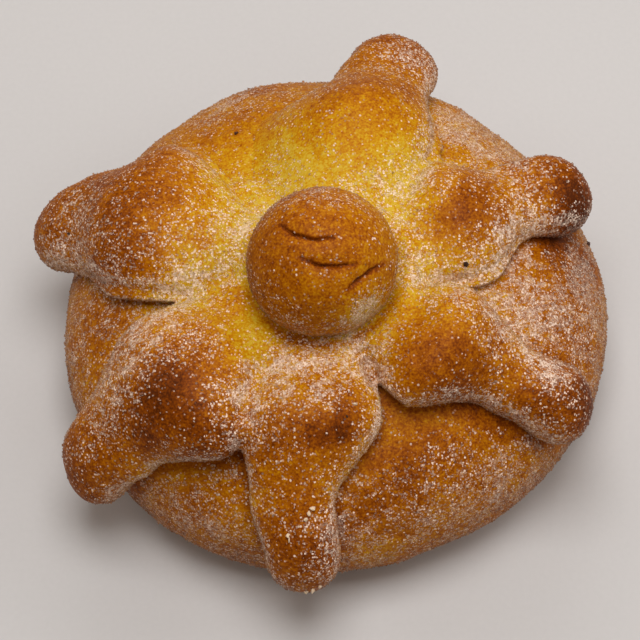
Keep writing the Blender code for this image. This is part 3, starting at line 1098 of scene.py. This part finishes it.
@dataclass
class SugarLayer:
    """One kind of sugar grain lying on one carrier."""

    name: str
    carrier: Body
    habit: Habit
    count: int
    size: float
    spread: float
    power: float
    seed: int
    slot: str
    stretch: float = 0.22
    lift: float = 0.15
    palest: float = 0.12
    glint_whitest: float = 0.64
    glint_rareness: float = 2.2
    glassiness: float = 0.62
    lowest: float = 1.0 * MM

    def build(self) -> Body:
        """Scatters the grains over the carrier, more where its sugar lies thick.

        Returns:
            The grains as one object.
        """
        rng = np.random.default_rng(self.seed)
        mesh = self.carrier.data
        mesh.calc_loop_triangles()
        corners = read_rows(mesh.loop_triangles, "vertices", 3, np.int32)
        points, normals = mesh_points(mesh), mesh_normals(mesh)
        sugar, bake = measure_of(mesh, "sugar"), measure_of(mesh, "bake")
        a, b, c = (points[corners[:, k]] for k in range(3))
        area = np.linalg.norm(np.cross(b - a, c - a), axis=1) / 2
        weight = area * sugar[corners].mean(axis=1) ** self.power
        weight[((a + b + c) / 3)[:, 2] < self.lowest] = 0.0
        chosen = rng.choice(len(corners), self.count, p=weight / weight.sum())
        shares = rng.dirichlet((1.0, 1.0, 1.0), self.count)
        spots = np.einsum("nk,nkd->nd", shares, points[corners[chosen]])
        square = unit(np.einsum("nk,nkd->nd", shares, normals[corners[chosen]]))
        return self.grains(rng, spots, square, bake[corners[chosen, 0]])

    def grains(self, rng: np.random.Generator, spots: Array, square: Array, bake: Array) -> Body:
        """Makes one crystal at each spot.

        Args:
            rng: Draws sizes, turns and whiteness.
            spots: Where the crystals sit.
            square: The carrier's normals there.
            bake: How brown the carrier is there.

        Returns:
            The crystals as one object.
        """
        template, faces = CRYSTALS[self.habit]
        count, corners = len(spots), len(template)
        size = self.size * np.exp(rng.normal(0.0, self.spread, (count, 1)))
        stretch = np.exp(rng.normal(0.0, self.stretch, (count, 3)))
        turn = unit(rng.normal(size=(count, 4)))[:, None]
        shape = template[None] * (stretch * size)[:, None, :]
        swung = np.cross(turn[..., 1:], shape)
        turned = shape + 2.0 * (turn[..., :1] * swung + np.cross(turn[..., 1:], swung))
        points = turned + (spots + square * size * self.lift)[:, None, :]
        numbers = faces[None] + (np.arange(count) * corners)[:, None, None]
        mesh = new_mesh(self.name, points.reshape(-1, 3), numbers.reshape(-1, 3))
        # Most grains are pale frost; the rare near-white ones are painted glints that stand for sparkle.
        frost_and_glint = self.palest + (self.glint_whitest - self.palest) * rng.random(count) ** self.glint_rareness
        add_measure(mesh, "frost_and_glint", np.repeat(frost_and_glint * (1.0 - self.glassiness * bake), corners))
        add_measure(mesh, "bake", np.repeat(bake, corners))
        below = mesh.attributes.new(name="below", type="FLOAT_VECTOR", domain="POINT")
        below.data.foreach_set("vector", np.repeat(square, corners, axis=0).astype(np.float32).ravel())
        body = new_body(mesh, self.carrier.location)
        body.visible_shadow = False
        return body


# Crumbs and clumps, each as its place on the unrolled skin, its height above it and its size, in millimetres.
SUGAR_CLUMPS: tuple[Row, ...] = (
    (-3.6, -55.0, 12.0, 1.1), (-4.3, -55.7, 12.0, 1.0), (-4.9, -56.3, 12.0, 0.8), (-9.4, -58.2, 12.0, 0.9),
    (-9.2, -59.0, 12.0, 0.8), (-5.0, -67.0, 8.0, 0.9), (-6.2, -67.4, 8.0, 0.8), (-3.8, -66.6, 8.0, 0.7),
    (6.0, -36.0, 12.0, 0.8),
)
BURNT_ON_STRIPS: tuple[Row, ...] = ((-53.0, 5.0, 12.0, 0.7), (26.5, -8.8, 8.0, 1.0), (3.5, -39.0, 12.0, 0.35))
BURNT_ON_LOAF: tuple[Row, ...] = ((-21.5, 32.5, 0.0, 0.9), (62.0, 14.5, 0.0, 1.1))


@dataclass
class Crumbs:
    """A few crumbs stuck on the crust, each a small lump of its own."""

    name: str
    skin: LoafSkin
    carrier: Body
    crumbs: tuple[Row, ...]
    seed: int
    finish: MottledFinish
    slot: str
    fineness: int = 3
    lumpiness: float = 0.55
    lump_size: float = 0.28
    lump_step: float = 9.0
    squeeze: float = 0.25
    lift: float = 0.15

    def build(self) -> Body:
        """Makes the crumbs, each sunk a little into the carrier.

        Returns:
            The crumbs as one object.
        """
        rng = np.random.default_rng(self.seed)
        own, square = mesh_points(self.carrier.data), mesh_normals(self.carrier.data)
        shape, faces = round_lump(self.fineness)
        points, numbers = [], []
        for count, (x, y, over, size) in enumerate(np.array(self.crumbs) * MM):
            above = self.skin.raised(np.array([(x, y)]), np.array([over]))[0]
            nearest = int(np.argmin(np.sum((own - above) ** 2, axis=1)))
            lumps = self.lumpiness * smooth_noise(shape + self.lump_step * count, self.lump_size, self.seed)
            squeezed = shape * (1.0 + lumps)[:, None] * np.exp(rng.normal(0.0, self.squeeze, 3))
            points.append(own[nearest] + (square[nearest] * self.lift + squeezed) * size)
            numbers.append(faces + count * len(shape))
        mesh = new_mesh(self.name, np.vstack(points), np.vstack(numbers))
        mesh.shade_smooth()
        return new_body(mesh, self.carrier.location)


@dataclass
class LoafCrust:
    """The round loaf's skin, fine enough for its dents, and for the wrinkles at its back left.

    A wrinkle's numbers are in millimetres of skin. Beside the strips at the front and the right the loaf has
    painted shade:
    it is browner, and barer of sugar, partly as painted shade and partly where the strips kept sugar off.
    """

    skin: LoafSkin
    axis: Vector
    rings: int = 150
    sectors: int = 420
    relief_seed: int = 31
    relief_fade: float = 6 * MM
    clump_contrast: float = 1.1
    low_sugar: float = 0.16
    low_run: Run = (56 * MM, 12 * MM)
    wrinkled: Run = (-17, 34)
    wrinkled_spread: Run = (13, 8)
    wrinkle_way: Run = (0.94, -0.34)
    wrinkle_bend: Run = (0.10, 0.35)
    wrinkle_pitch: float = 1.15
    wrinkle_depth: float = 0.45 * MM
    shade_reach: float = 3.0 * MM
    open_front: float = 8 * MM
    open_right: float = 26 * MM
    open_run: float = 18 * MM
    painted_shade_bake: float = 0.20
    shade_and_bare_sugar: float = -0.22

    def build(self) -> Body:
        """Makes the loaf as a closed mesh with a flat base.

        Returns:
            The loaf, with its browning and its sugar.
        """
        bearings = np.linspace(0.0, 2 * np.pi, self.sectors, endpoint=False)
        compass = np.column_stack((np.cos(bearings), np.sin(bearings)))
        distances = np.linspace(0.0, self.skin.length, self.rings + 1)[1:]
        places = (distances[:, None, None] * compass[None]).reshape(-1, 2)
        points = self.skin.points(places)
        fade = np.clip((self.skin.length - np.hypot(*places.T)) / self.relief_fade, 0.0, 1.0)
        relief = (swells(points, CRUST_RELIEF, self.relief_seed) + self.wrinkles(places)) * fade
        points = points + self.skin.outward(places) * relief[:, None]
        points[-self.sectors :, 2] = 0.0
        pole = self.skin.points(np.array([[1e-6, 0.0]]))
        points = np.vstack((points, pole, [[0.0, 0.0, 0.0]]))
        mesh = new_mesh("loaf_crust", points, closed_tube(self.rings, self.sectors, downward=True))
        mesh.shade_smooth()
        places = np.vstack((places, [[0.0, 0.0], [self.skin.length, 0.0]]))
        add_measure(mesh, "bake", BAKING.browning_and_painted_light(places, np.zeros(len(places))))
        low = self.low_sugar * ramp(np.hypot(*places.T), *self.low_run)
        add_measure(mesh, "sugar", clumped(mesh_points(mesh), BAKING.sugar(places) + low, self.clump_contrast))
        return new_body(mesh, self.axis)

    def wrinkles(self, places: Array) -> Array:
        """Long shallow wrinkles of the crust, between two strips.

        Args:
            places: Places of the unrolled skin.

        Returns:
            Their depth at each place, below nought.
        """
        (x, y), (by_x, by_y), (bend, turns) = places.T / MM, self.wrinkle_way, self.wrinkle_bend
        (at_x, at_y), (wide, deep) = self.wrinkled, self.wrinkled_spread
        run = by_x * x + by_y * y
        over = by_x * y - by_y * x + bend * np.sin(turns * run) * run
        near = bell(x - at_x, wide) * bell(y - at_y, deep)
        return -self.wrinkle_depth * near * np.clip(np.sin(self.wrinkle_pitch * over), 0.0, 1.0) ** 3

    def shade_beside(self, body: Body, strips: Body) -> None:
        """Paints shade on the loaf close under the strips at the front and the right: browner, and barer of
        sugar.

        Args:
            body: The loaf.
            strips: The strips that lie on it.
        """
        points = mesh_points(strips.data)
        tree = KDTree(len(points))
        for number, point in enumerate(points):
            tree.insert(point, number)
        tree.balance()
        own = mesh_points(body.data)
        gap = np.array([tree.find(point)[2] for point in own])
        # Painted shade: close under the strips on the front and right sides the loaf is darkened and its sugar
        # thinned.
        open_side = np.maximum(-own[:, 1] - self.open_front, own[:, 0] - self.open_right)
        near = bell(gap, self.shade_reach) * smooth_step(open_side / self.open_run)
        for name, change in (("bake", self.painted_shade_bake), ("sugar", self.shade_and_bare_sugar)):
            add_measure(body.data, name, np.clip(measure_of(body.data, name) + change * near, 0.0, 1.0))


@dataclass(frozen=True)
class BallCrust:
    """The ball of dough on the crossing, with three cracks in its top.

    Cracks are lines across the ball's cracked side, in ball radii. One front corner is pale, thick with sugar.
    """

    form: DoughForm
    axis: Vector
    radius: float = 15.3 * MM
    raised_by: float = 5.9 * MM
    place: tuple[float, float] = (-1.1 * MM, -10.5 * MM)
    gap: float = 0.3 * MM
    ovalness: float = 0.010
    oval_turn: float = 0.5
    rings: int = 130
    sectors: int = 250
    cracked_side: tuple[Way, Way, Way] = ((1.0, 0.0, 0.0), (0.0, 0.866, 0.5), (0.0, -0.5, 0.866))
    cracks: tuple[Path, ...] = (
        ((-0.53, 0.46), (-0.36, 0.33), (-0.07, 0.28), (0.16, 0.30)),
        ((-0.26, 0.03), (-0.05, -0.08), (0.20, -0.08), (0.44, -0.05)),
        ((0.34, -0.38), (0.55, -0.22), (0.80, -0.04)),
    )
    crack_depth: float = 0.9 * MM
    crack_half_width: float = 0.020
    crack_shade: float = 0.30
    crack_shade_half_width: float = 0.035
    crack_wander: Run = (0.014, 0.16)
    crack_taper: Run = (4.0, 0.15)
    lip_depth: float = 0.45 * MM
    lip_half_width: float = 0.11
    wander_seed: int = 70
    relief_seed: int = 51
    relief_share: float = 0.8
    bake: float = 0.46
    bake_leftward: float = 0.08
    bake_upward: float = 0.06
    bake_below: float = -0.06
    below_run: Run = (0.0, 0.4)
    corner: Way = (0.56, -0.82, 0.05)
    corner_bake: Run = (-0.30, 0.30)
    corner_sugar: Run = (1.60, 0.24)
    sugar_least: float = 0.04
    side_sugar: float = 0.14
    side_run: Run = (-0.55, 0.6)
    foot_sugar: float = 0.60
    foot_run: Run = (0.10, 0.25)
    back_sugar: float = 0.26
    back_run: Run = (0.1, 0.6)
    clump_contrast: float = 1.2

    @property
    def middle(self) -> Array:
        """The ball's centre, from the loaf's axis."""
        rise = self.form.seat.rise + self.gap + self.raised_by
        return self.form.skin.raised(np.array([self.place]), np.array([rise]))[0]

    def crack_distance(self, ways: Array, path: Path) -> tuple[Array, Array]:
        """How far places on the ball are from a crack.

        Args:
            ways: The unit vectors from the ball's centre to the places.
            path: The crack's corners.

        Returns:
            The distance to the crack, and how far along it the nearest point is, from nought to one.
        """
        right, up, out = (ways @ np.array(axis) for axis in self.cracked_side)
        gap, along = path_distance(np.column_stack((right, up)), path)
        return np.where(out > 0.0, gap, np.inf), along

    def build(self) -> Body:
        """Makes the ball as a closed mesh, flat where it sits.

        Returns:
            The ball, with its browning and its sugar.
        """
        bearings = np.linspace(0.0, 2 * np.pi, self.sectors, endpoint=False)
        lifts = np.linspace(-math.asin(self.raised_by / self.radius), np.pi / 2, self.rings + 1)[:-1]
        turn, lift = (grid.ravel() for grid in np.meshgrid(bearings, lifts))
        ways = np.column_stack((np.cos(turn) * np.cos(lift), np.sin(turn) * np.cos(lift), np.sin(lift)))
        reach = self.radius * (1.0 + self.ovalness * np.sin(2 * turn + self.oval_turn) * np.cos(lift))
        rise, size = self.crack_wander
        wander = rise * np.column_stack([smooth_noise(ways, size, self.wander_seed + k) for k in range(3)])
        for path in self.cracks:
            gap, along = self.crack_distance(ways + wander, path)
            crack = self.crack_depth * bell(gap, self.crack_half_width)
            lips = self.lip_depth * bell(gap, self.lip_half_width)
            reach = reach - (crack + lips) * tapered(along, *self.crack_taper)
        reach = reach + self.relief_share * swells(ways * self.radius, CRUST_RELIEF, self.relief_seed)
        ends = self.middle + np.array([[0.0, 0.0, -self.raised_by], [0.0, 0.0, self.radius]])
        points = np.vstack((self.middle + ways * reach[:, None], ends))
        mesh = new_mesh("ball_crust", points, closed_tube(self.rings, self.sectors))
        mesh.shade_smooth()
        ways = np.vstack((ways, [[0, 0, -1], [0, 0, 1]]))
        add_measure(mesh, "bake", self.browning_and_painted_light(ways))
        add_measure(mesh, "sugar", clumped(ways * self.radius, self.sugar(ways), self.clump_contrast))
        return new_body(mesh, self.axis)

    def at_corner(self, ways: Array, amount: float, width: float) -> Array:
        """An amount at the ball's sugared corner, falling to nought round it."""
        return amount * bell(np.linalg.norm(ways - self.corner, axis=1), width)

    def browning_and_painted_light(self, ways: Array) -> Array:
        """How brown the ball is: evenly, darker to the left, with painted shade darkening its cracks.

        Args:
            ways: The unit vectors from the ball's centre to places on it.

        Returns:
            Nought for the palest dough to one for the darkest.
        """
        dark = self.bake - self.bake_leftward * ways[:, 0] + self.bake_upward * ways[:, 2]
        below = self.bake_below * ramp(-ways[:, 2], *self.below_run)
        dark = dark + below + self.at_corner(ways, *self.corner_bake)
        # Painted shade in the cracks, a little wider than the cracks themselves.
        for path in self.cracks:
            dark = dark + self.crack_shade * bell(self.crack_distance(ways, path)[0], self.crack_shade_half_width)
        return np.clip(dark, 0.0, 1.0)

    def sugar(self, ways: Array) -> Array:
        """How thickly the ball is sugared: thin on top, thicker at its sides, its back and its foot.

        Args:
            ways: The unit vectors from the ball's centre to places on it.

        Returns:
            The sugar from nought to one.
        """
        side = self.side_sugar * ramp(-ways[:, 2], *self.side_run)
        foot = self.foot_sugar * ramp(-ways[:, 2], *self.foot_run)
        back = self.back_sugar * ramp(ways[:, 1], *self.back_run)
        corner = self.at_corner(ways, *self.corner_sugar)
        return np.clip(self.sugar_least + side + foot + back + corner, 0.0, 1.0)


@dataclass
class BoneStrips:
    """The six bone-shaped strips, baked into one skin over the loaf.

    Where two strips part, a small web of dough runs down between them. A web is its place on the unrolled skin.
    The flanks hold more sugar than the crowns, apart from the long slope at the back left where it ran off.
    Round the ball's foot, most in front, the dough is painted darker and barer of sugar as painted shade from
    the ball.
    """

    form: DoughForm
    axis: Vector
    ball: BallCrust
    step: float = 0.8 * MM
    counts: tuple[int, int, int] = (60, 12, 22)
    nose_rings: int = 13
    last_turn: float = 0.97
    seat_hole: float = 1.5 * MM
    voxel: float = 0.56 * MM
    webs: Path = ((-15.5, 8.5), (-19.0, 12.5), (20.0, 21.0))
    web_size: tuple[float, float, float] = (10.0 * MM, 10.0 * MM, 6.4 * MM)
    web_fineness: int = 4
    evening: int = 3
    drawn_evening: int = 30
    drawn_width: float = 4.0
    relief_seed: int = 31
    lump_rise: float = 0.55 * MM
    lump_size: float = 4.5 * MM
    lump_seed: int = 41
    lump_run: Run = (20 * MM, 12 * MM)
    flank_run: Run = (-0.92, 0.5)
    flank_from: Run = (17 * MM, 8 * MM)
    flank_bake: float = 0.02
    flank_sugar: float = 0.55
    slope_at: Run = (-17.0, 19.0)
    slope_size: float = 13.0
    ball_shade_radius: float = 14.6 * MM
    ball_shade_width: float = 0.8 * MM
    ball_shade_run: Run = (4 * MM, 8 * MM)
    ball_shade_behind: float = 0.1
    ball_shade_bake: float = 0.32
    ball_shade_bare: float = 0.3
    clump_contrast: float = 0.8

    def tube(self, index: int) -> tuple[Array, Array]:
        """One strip as a closed tube.

        Args:
            index: The strip's place in the list.

        Returns:
            Its points, and its faces as triangles.
        """
        tip = STRIPS[index].tip
        turns = np.linspace(0.0, self.last_turn, self.nose_rings) * np.pi / 2
        nose = tip.at + self.form.nose_share * tip.half * np.sin(turns)
        stations = np.append(np.arange(self.seat_hole, tip.at, self.step), nose)
        rings = [self.form.ring(index, float(along), self.counts) for along in stations]
        points = np.vstack((*rings, rings[0].mean(axis=0), rings[-1].mean(axis=0)))
        return points, closed_tube(len(rings), len(rings[0]))

    def fused(self) -> bpy.types.Mesh:
        """Fuses the strips and the webs between them into one skin.

        Returns:
            The rough skin.
        """
        parts = [self.tube(index) for index in range(len(STRIPS))]
        lump, lump_faces = round_lump(self.web_fineness)
        for web in self.webs:
            parts.append((self.form.skin.points(np.array([web]) * MM) + lump * self.web_size, lump_faces))
        starts = np.cumsum([0] + [len(points) for points, _ in parts])
        faces = np.vstack([numbers + start for (_, numbers), start in zip(parts, starts)])
        rough = new_body(new_mesh("strip_tubes", np.vstack([points for points, _ in parts]), faces))
        fuse = rough.modifiers.new("fuse", "REMESH")
        fuse.mode = "VOXEL"
        fuse.voxel_size = self.voxel
        mesh = bpy.data.meshes.new_from_object(rough.evaluated_get(bpy.context.evaluated_depsgraph_get()))
        bpy.data.objects.remove(rough)
        mesh.name = "bone_strips"
        return mesh

    def build(self) -> Body:
        """Evens out the fused skin, draws the creases in it and gives it the crust's relief.

        Returns:
            The strips, with their browning and their sugar.
        """
        mesh, skin = self.fused(), self.form.skin
        edges = read_rows(mesh.edges, "vertices", 2, np.int32)
        even = smoothed(mesh_points(mesh), edges, self.evening)
        places, lift = skin.locate(even)
        drawn = np.clip(sum(crease.near(places, self.drawn_width) for crease in CREASES), 0.0, 1.0)
        even = even + (smoothed(even, edges, self.drawn_evening) - even) * drawn[:, None]
        set_points(mesh, even)
        outward = skin.outward(places)
        facing = np.clip(np.sum(outward * mesh_normals(mesh), axis=1), 0.0, 1.0)
        sunk = sum(crease.depth * MM * crease.near(places, crease.half_width) for crease in CREASES) * facing**3
        crossing = 1.0 - ramp(self.form.seat.distance(places), *self.lump_run)
        lumps = self.lump_rise * crossing * smooth_noise(even, self.lump_size, self.lump_seed)
        relief = swells(even, CRUST_RELIEF, self.relief_seed) + lumps - sunk
        set_points(mesh, even + mesh_normals(mesh) * relief[:, None])
        facing = np.sum(outward * mesh_normals(mesh), axis=1)
        self.dress(mesh, even, places, lift, facing)
        mesh.shade_smooth()
        return new_body(mesh, self.axis)

    def dress(self, mesh: bpy.types.Mesh, even: Array, places: Array, lift: Array, facing: Array) -> None:
        """Browns and sugars the strips, and paints shade round the ball's foot and in the darker creases.

        Args:
            mesh: The skin.
            even: Its vertices before the crust's relief.
            places: Their places of the unrolled skin.
            lift: Their heights above it.
            facing: One where the skin faces straight out, nought on an upright flank.
        """
        flank = ramp(-facing, *self.flank_run) * ramp(self.form.seat.distance(places), *self.flank_from)
        slope = bell(np.hypot(*(places / MM - self.slope_at).T), self.slope_size)
        from_ball = np.hypot(*(places - np.array(self.ball.place)).T)
        # Painted shade round the ball's foot, strongest in front of it: the dough is darkened and its sugar
        # thinned.
        start, over = self.ball_shade_run
        ahead = ramp(self.ball.place[1] - places[:, 1], start, over)
        ball_shade = bell(from_ball - self.ball_shade_radius, self.ball_shade_width)
        ball_shade = ball_shade * (self.ball_shade_behind + (1.0 - self.ball_shade_behind) * ahead)
        # Creases browned darker are painted shade; paler ones are pale dough in the folds.
        crease_shade_and_pale = sum(crease.bake * crease.near(places, crease.half_width) for crease in CREASES)
        creased = sum(crease.sugar * crease.near(places, 2.0 * crease.half_width) for crease in CREASES)
        bake = BAKING.browning_and_painted_light(places, lift) + self.flank_bake * flank + self.ball_shade_bake * ball_shade + crease_shade_and_pale
        sugar = BAKING.sugar(places) + self.flank_sugar * flank * (1.0 - slope) + creased
        sugar = np.clip(sugar * (1.0 - self.ball_shade_bare * ball_shade), 0.0, 1.0)
        add_measure(mesh, "bake", np.clip(bake, 0.0, 1.0))
        add_measure(mesh, "sugar", clumped(even, sugar, self.clump_contrast))


@dataclass(frozen=True)
class Lamp:
    """A square soft light that faces the bread."""

    name: str
    place: tuple[float, float, float]
    power: float
    size: float = 0.36
    colour: str = "#FFFAF6"

    def build(self) -> None:
        """Adds the light."""
        data = bpy.data.lights.new(self.name, "AREA")
        data.shape = "SQUARE"
        data.size = self.size
        data.energy = self.power
        data.color = linear(self.colour)[:3]
        body = new_body(data, self.place)
        body.rotation_mode = "QUATERNION"
        body.rotation_quaternion = (-Vector(self.place)).to_track_quat("-Z", "Y")


@dataclass(frozen=True)
class Studio:
    """A pale floor under soft light from behind and above, and the camera at the photograph's angle."""

    loaf_axis: Vector
    elevation: float = 60.0
    distance: float = 488.9 * MM
    pixels_per_mm: float = 4.5
    aim: tuple[float, float, float] = (-2.5 * MM, -0.8 * MM, 13.0 * MM)
    sensor: float = 36.0
    clip_start: float = 0.01
    floor_half: float = 1.5
    board: MottledFinish = MottledFinish(
        name="matt_board", light="#CECFD1", dark="#C9CACC", grain=1.2 * MM, depth=0.0, roughness=0.8
    )
    lamps: tuple[Lamp, ...] = (
        Lamp("key", (0.0, 0.0, 0.66), 2.75),
        Lamp("back", (0.0, 0.52, 0.36), 0.75),
        Lamp("right", (0.5, 0.10, 0.40), 0.85),
        Lamp("left", (-0.5, 0.10, 0.40), 0.50),
        Lamp("front", (0.25, -0.45, 0.40), 0.45, 0.5),
    )
    sky_colour: str = "#FBDDBE"
    sky_strength: float = 0.15

    def camera(self) -> None:
        """Adds the camera."""
        data = bpy.data.cameras.new("camera")
        view = 2 * math.atan(PHOTO_SIZE / 2 / self.pixels_per_mm / (self.distance / MM))
        data.sensor_width = self.sensor
        data.lens = self.sensor / 2 / math.tan(view / 2)
        data.clip_start = self.clip_start
        tilt = math.radians(self.elevation)
        back = Vector((0.0, -math.cos(tilt), math.sin(tilt)))
        body = new_body(data, self.loaf_axis + Vector(self.aim) + back * self.distance)
        body.rotation_mode = "QUATERNION"
        body.rotation_quaternion = (-back).to_track_quat("-Z", "Y")
        bpy.context.scene.camera = body

    def floor(self) -> None:
        """Adds the pale floor, a matt board with a very faint mottle."""
        ways = np.array([(-1, -1, 0), (1, -1, 0), (1, 1, 0), (-1, 1, 0)])
        mesh = new_mesh("floor", self.floor_half * ways, np.array([(0, 1, 2, 3)]))
        mesh.materials.append(self.board.material())
        new_body(mesh)

    def sky(self) -> None:
        """Adds the faint light of the room and the plain view of colours."""
        world = bpy.data.worlds.new("sky")
        world.use_nodes = True
        background = world.node_tree.nodes["Background"]
        background.inputs["Color"].default_value = linear(self.sky_colour)
        background.inputs["Strength"].default_value = self.sky_strength
        bpy.context.scene.world = world
        bpy.context.scene.view_settings.view_transform = "Standard"

    def build(self) -> None:
        """Adds the camera, the floor, the lights and the sky."""
        self.camera()
        self.floor()
        for lamp in self.lamps:
            lamp.build()
        self.sky()


def loaf_axis(skin: LoafSkin) -> Vector:
    """Finds where the loaf's axis stands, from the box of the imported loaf.

    Args:
        skin: The loaf's skin.

    Returns:
        The axis's foot.
    """
    bearings = np.radians(np.arange(0.0, 360.5, 0.5))
    distances = np.linspace(0.0, skin.length, 200)
    grid = distances[:, None, None] * np.column_stack((np.cos(bearings), np.sin(bearings)))[None]
    points = skin.points(grid.reshape(-1, 2))
    own = (points.min(axis=0) + points.max(axis=0)) / 2
    low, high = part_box("loaf")
    centre = (low + high) / 2
    return Vector((centre.x - own[0], centre.y - own[1], 0.0))


def finish_piece(body: Body, material: bpy.types.Material, nodes: Sequence[str] = ()) -> None:
    """Gives a piece its material and its place in the frame, and reports it.

    Args:
        body: The piece.
        material: Its material.
        nodes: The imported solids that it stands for.
    """
    body.data.materials.append(material)
    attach(body, "root")
    if nodes:
        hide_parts(*nodes)
    body.data.calc_loop_triangles()
    log.info("%s: %d triangles", body.name, len(body.data.loop_triangles))


def main() -> None:
    """Builds the crusts, the sugar, the crumbs and the studio in order."""
    logging.basicConfig(level=logging.INFO, format="%(name)s %(message)s")
    skin = LoafSkin()
    form = DoughForm(skin)
    axis = loaf_axis(skin)
    log.info("loaf axis at %.2f, %.2f mm", axis.x / MM, axis.y / MM)
    loaf_maker, ball_maker = LoafCrust(skin, axis), BallCrust(form, axis)
    loaf = loaf_maker.build()
    finish_piece(loaf, CrustFinish(name="glazed_baked_loaf_crust").material(), ("loaf",))
    strips = BoneStrips(form, axis, ball_maker).build()
    loaf_maker.shade_beside(loaf, strips)
    strip_finish = CrustFinish(name="glazed_baked_strip_crust")
    finish_piece(strips, strip_finish.material(), tuple(strip.name for strip in STRIPS))
    ball = ball_maker.build()
    finish_piece(ball, CrustFinish(name="glazed_baked_ball_crust").material(), ("ball",))
    sugar = SugarFinish(name="clear_granulated_cane_sugar").material()
    fine, coarse, finest = 0.22 * MM, 0.29 * MM, 0.18 * MM
    # Name, carrier, habit, count, size, its spread, how much it gathers where sugar is thick, seed and slot.
    layers = (
        SugarLayer("fine_sugar_on_loaf", loaf, Habit.SPLINTER, 46000, fine, 0.28, 1.1, 101, "loaf_crust"),
        SugarLayer("coarse_sugar_on_loaf", loaf, Habit.BLOCK, 6000, coarse, 0.24, 1.6, 102, "loaf_crust"),
        SugarLayer("fine_sugar_on_strips", strips, Habit.SPLINTER, 46000, fine, 0.28, 1.1, 103, "bone_crust"),
        SugarLayer("coarse_sugar_on_strips", strips, Habit.BLOCK, 6500, coarse, 0.24, 1.6, 104, "bone_crust"),
        SugarLayer("fine_sugar_on_ball", ball, Habit.SPLINTER, 9000, finest, 0.32, 1.3, 105, "ball_crust"),
        SugarLayer("coarse_sugar_on_ball", ball, Habit.BLOCK, 260, fine, 0.24, 1.2, 106, "ball_crust"),
    )
    for layer in layers:
        finish_piece(layer.build(), sugar)
    dried = MottledFinish(name="dried_sugar_clump", light="#F6E6CE", dark="#CFAE84")
    burnt = MottledFinish(name="burnt_sugar", light="#42200C", dark="#1C0C04")
    toasted = MottledFinish(name="burnt_sugar_on_loaf", light="#5A2E12", dark="#2A1206")
    for crumbs in (
        Crumbs("sugar_clumps", skin, strips, SUGAR_CLUMPS, 301, dried, "bone_crust"),
        Crumbs("burnt_crumbs_on_strips", skin, strips, BURNT_ON_STRIPS, 302, burnt, "bone_crust"),
        Crumbs("burnt_crumbs_on_loaf", skin, loaf, BURNT_ON_LOAF, 303, toasted, "loaf_crust"),
    ):
        finish_piece(crumbs.build(), crumbs.finish.material())
    Studio(axis).build()


if __name__ == "__main__":
    main()
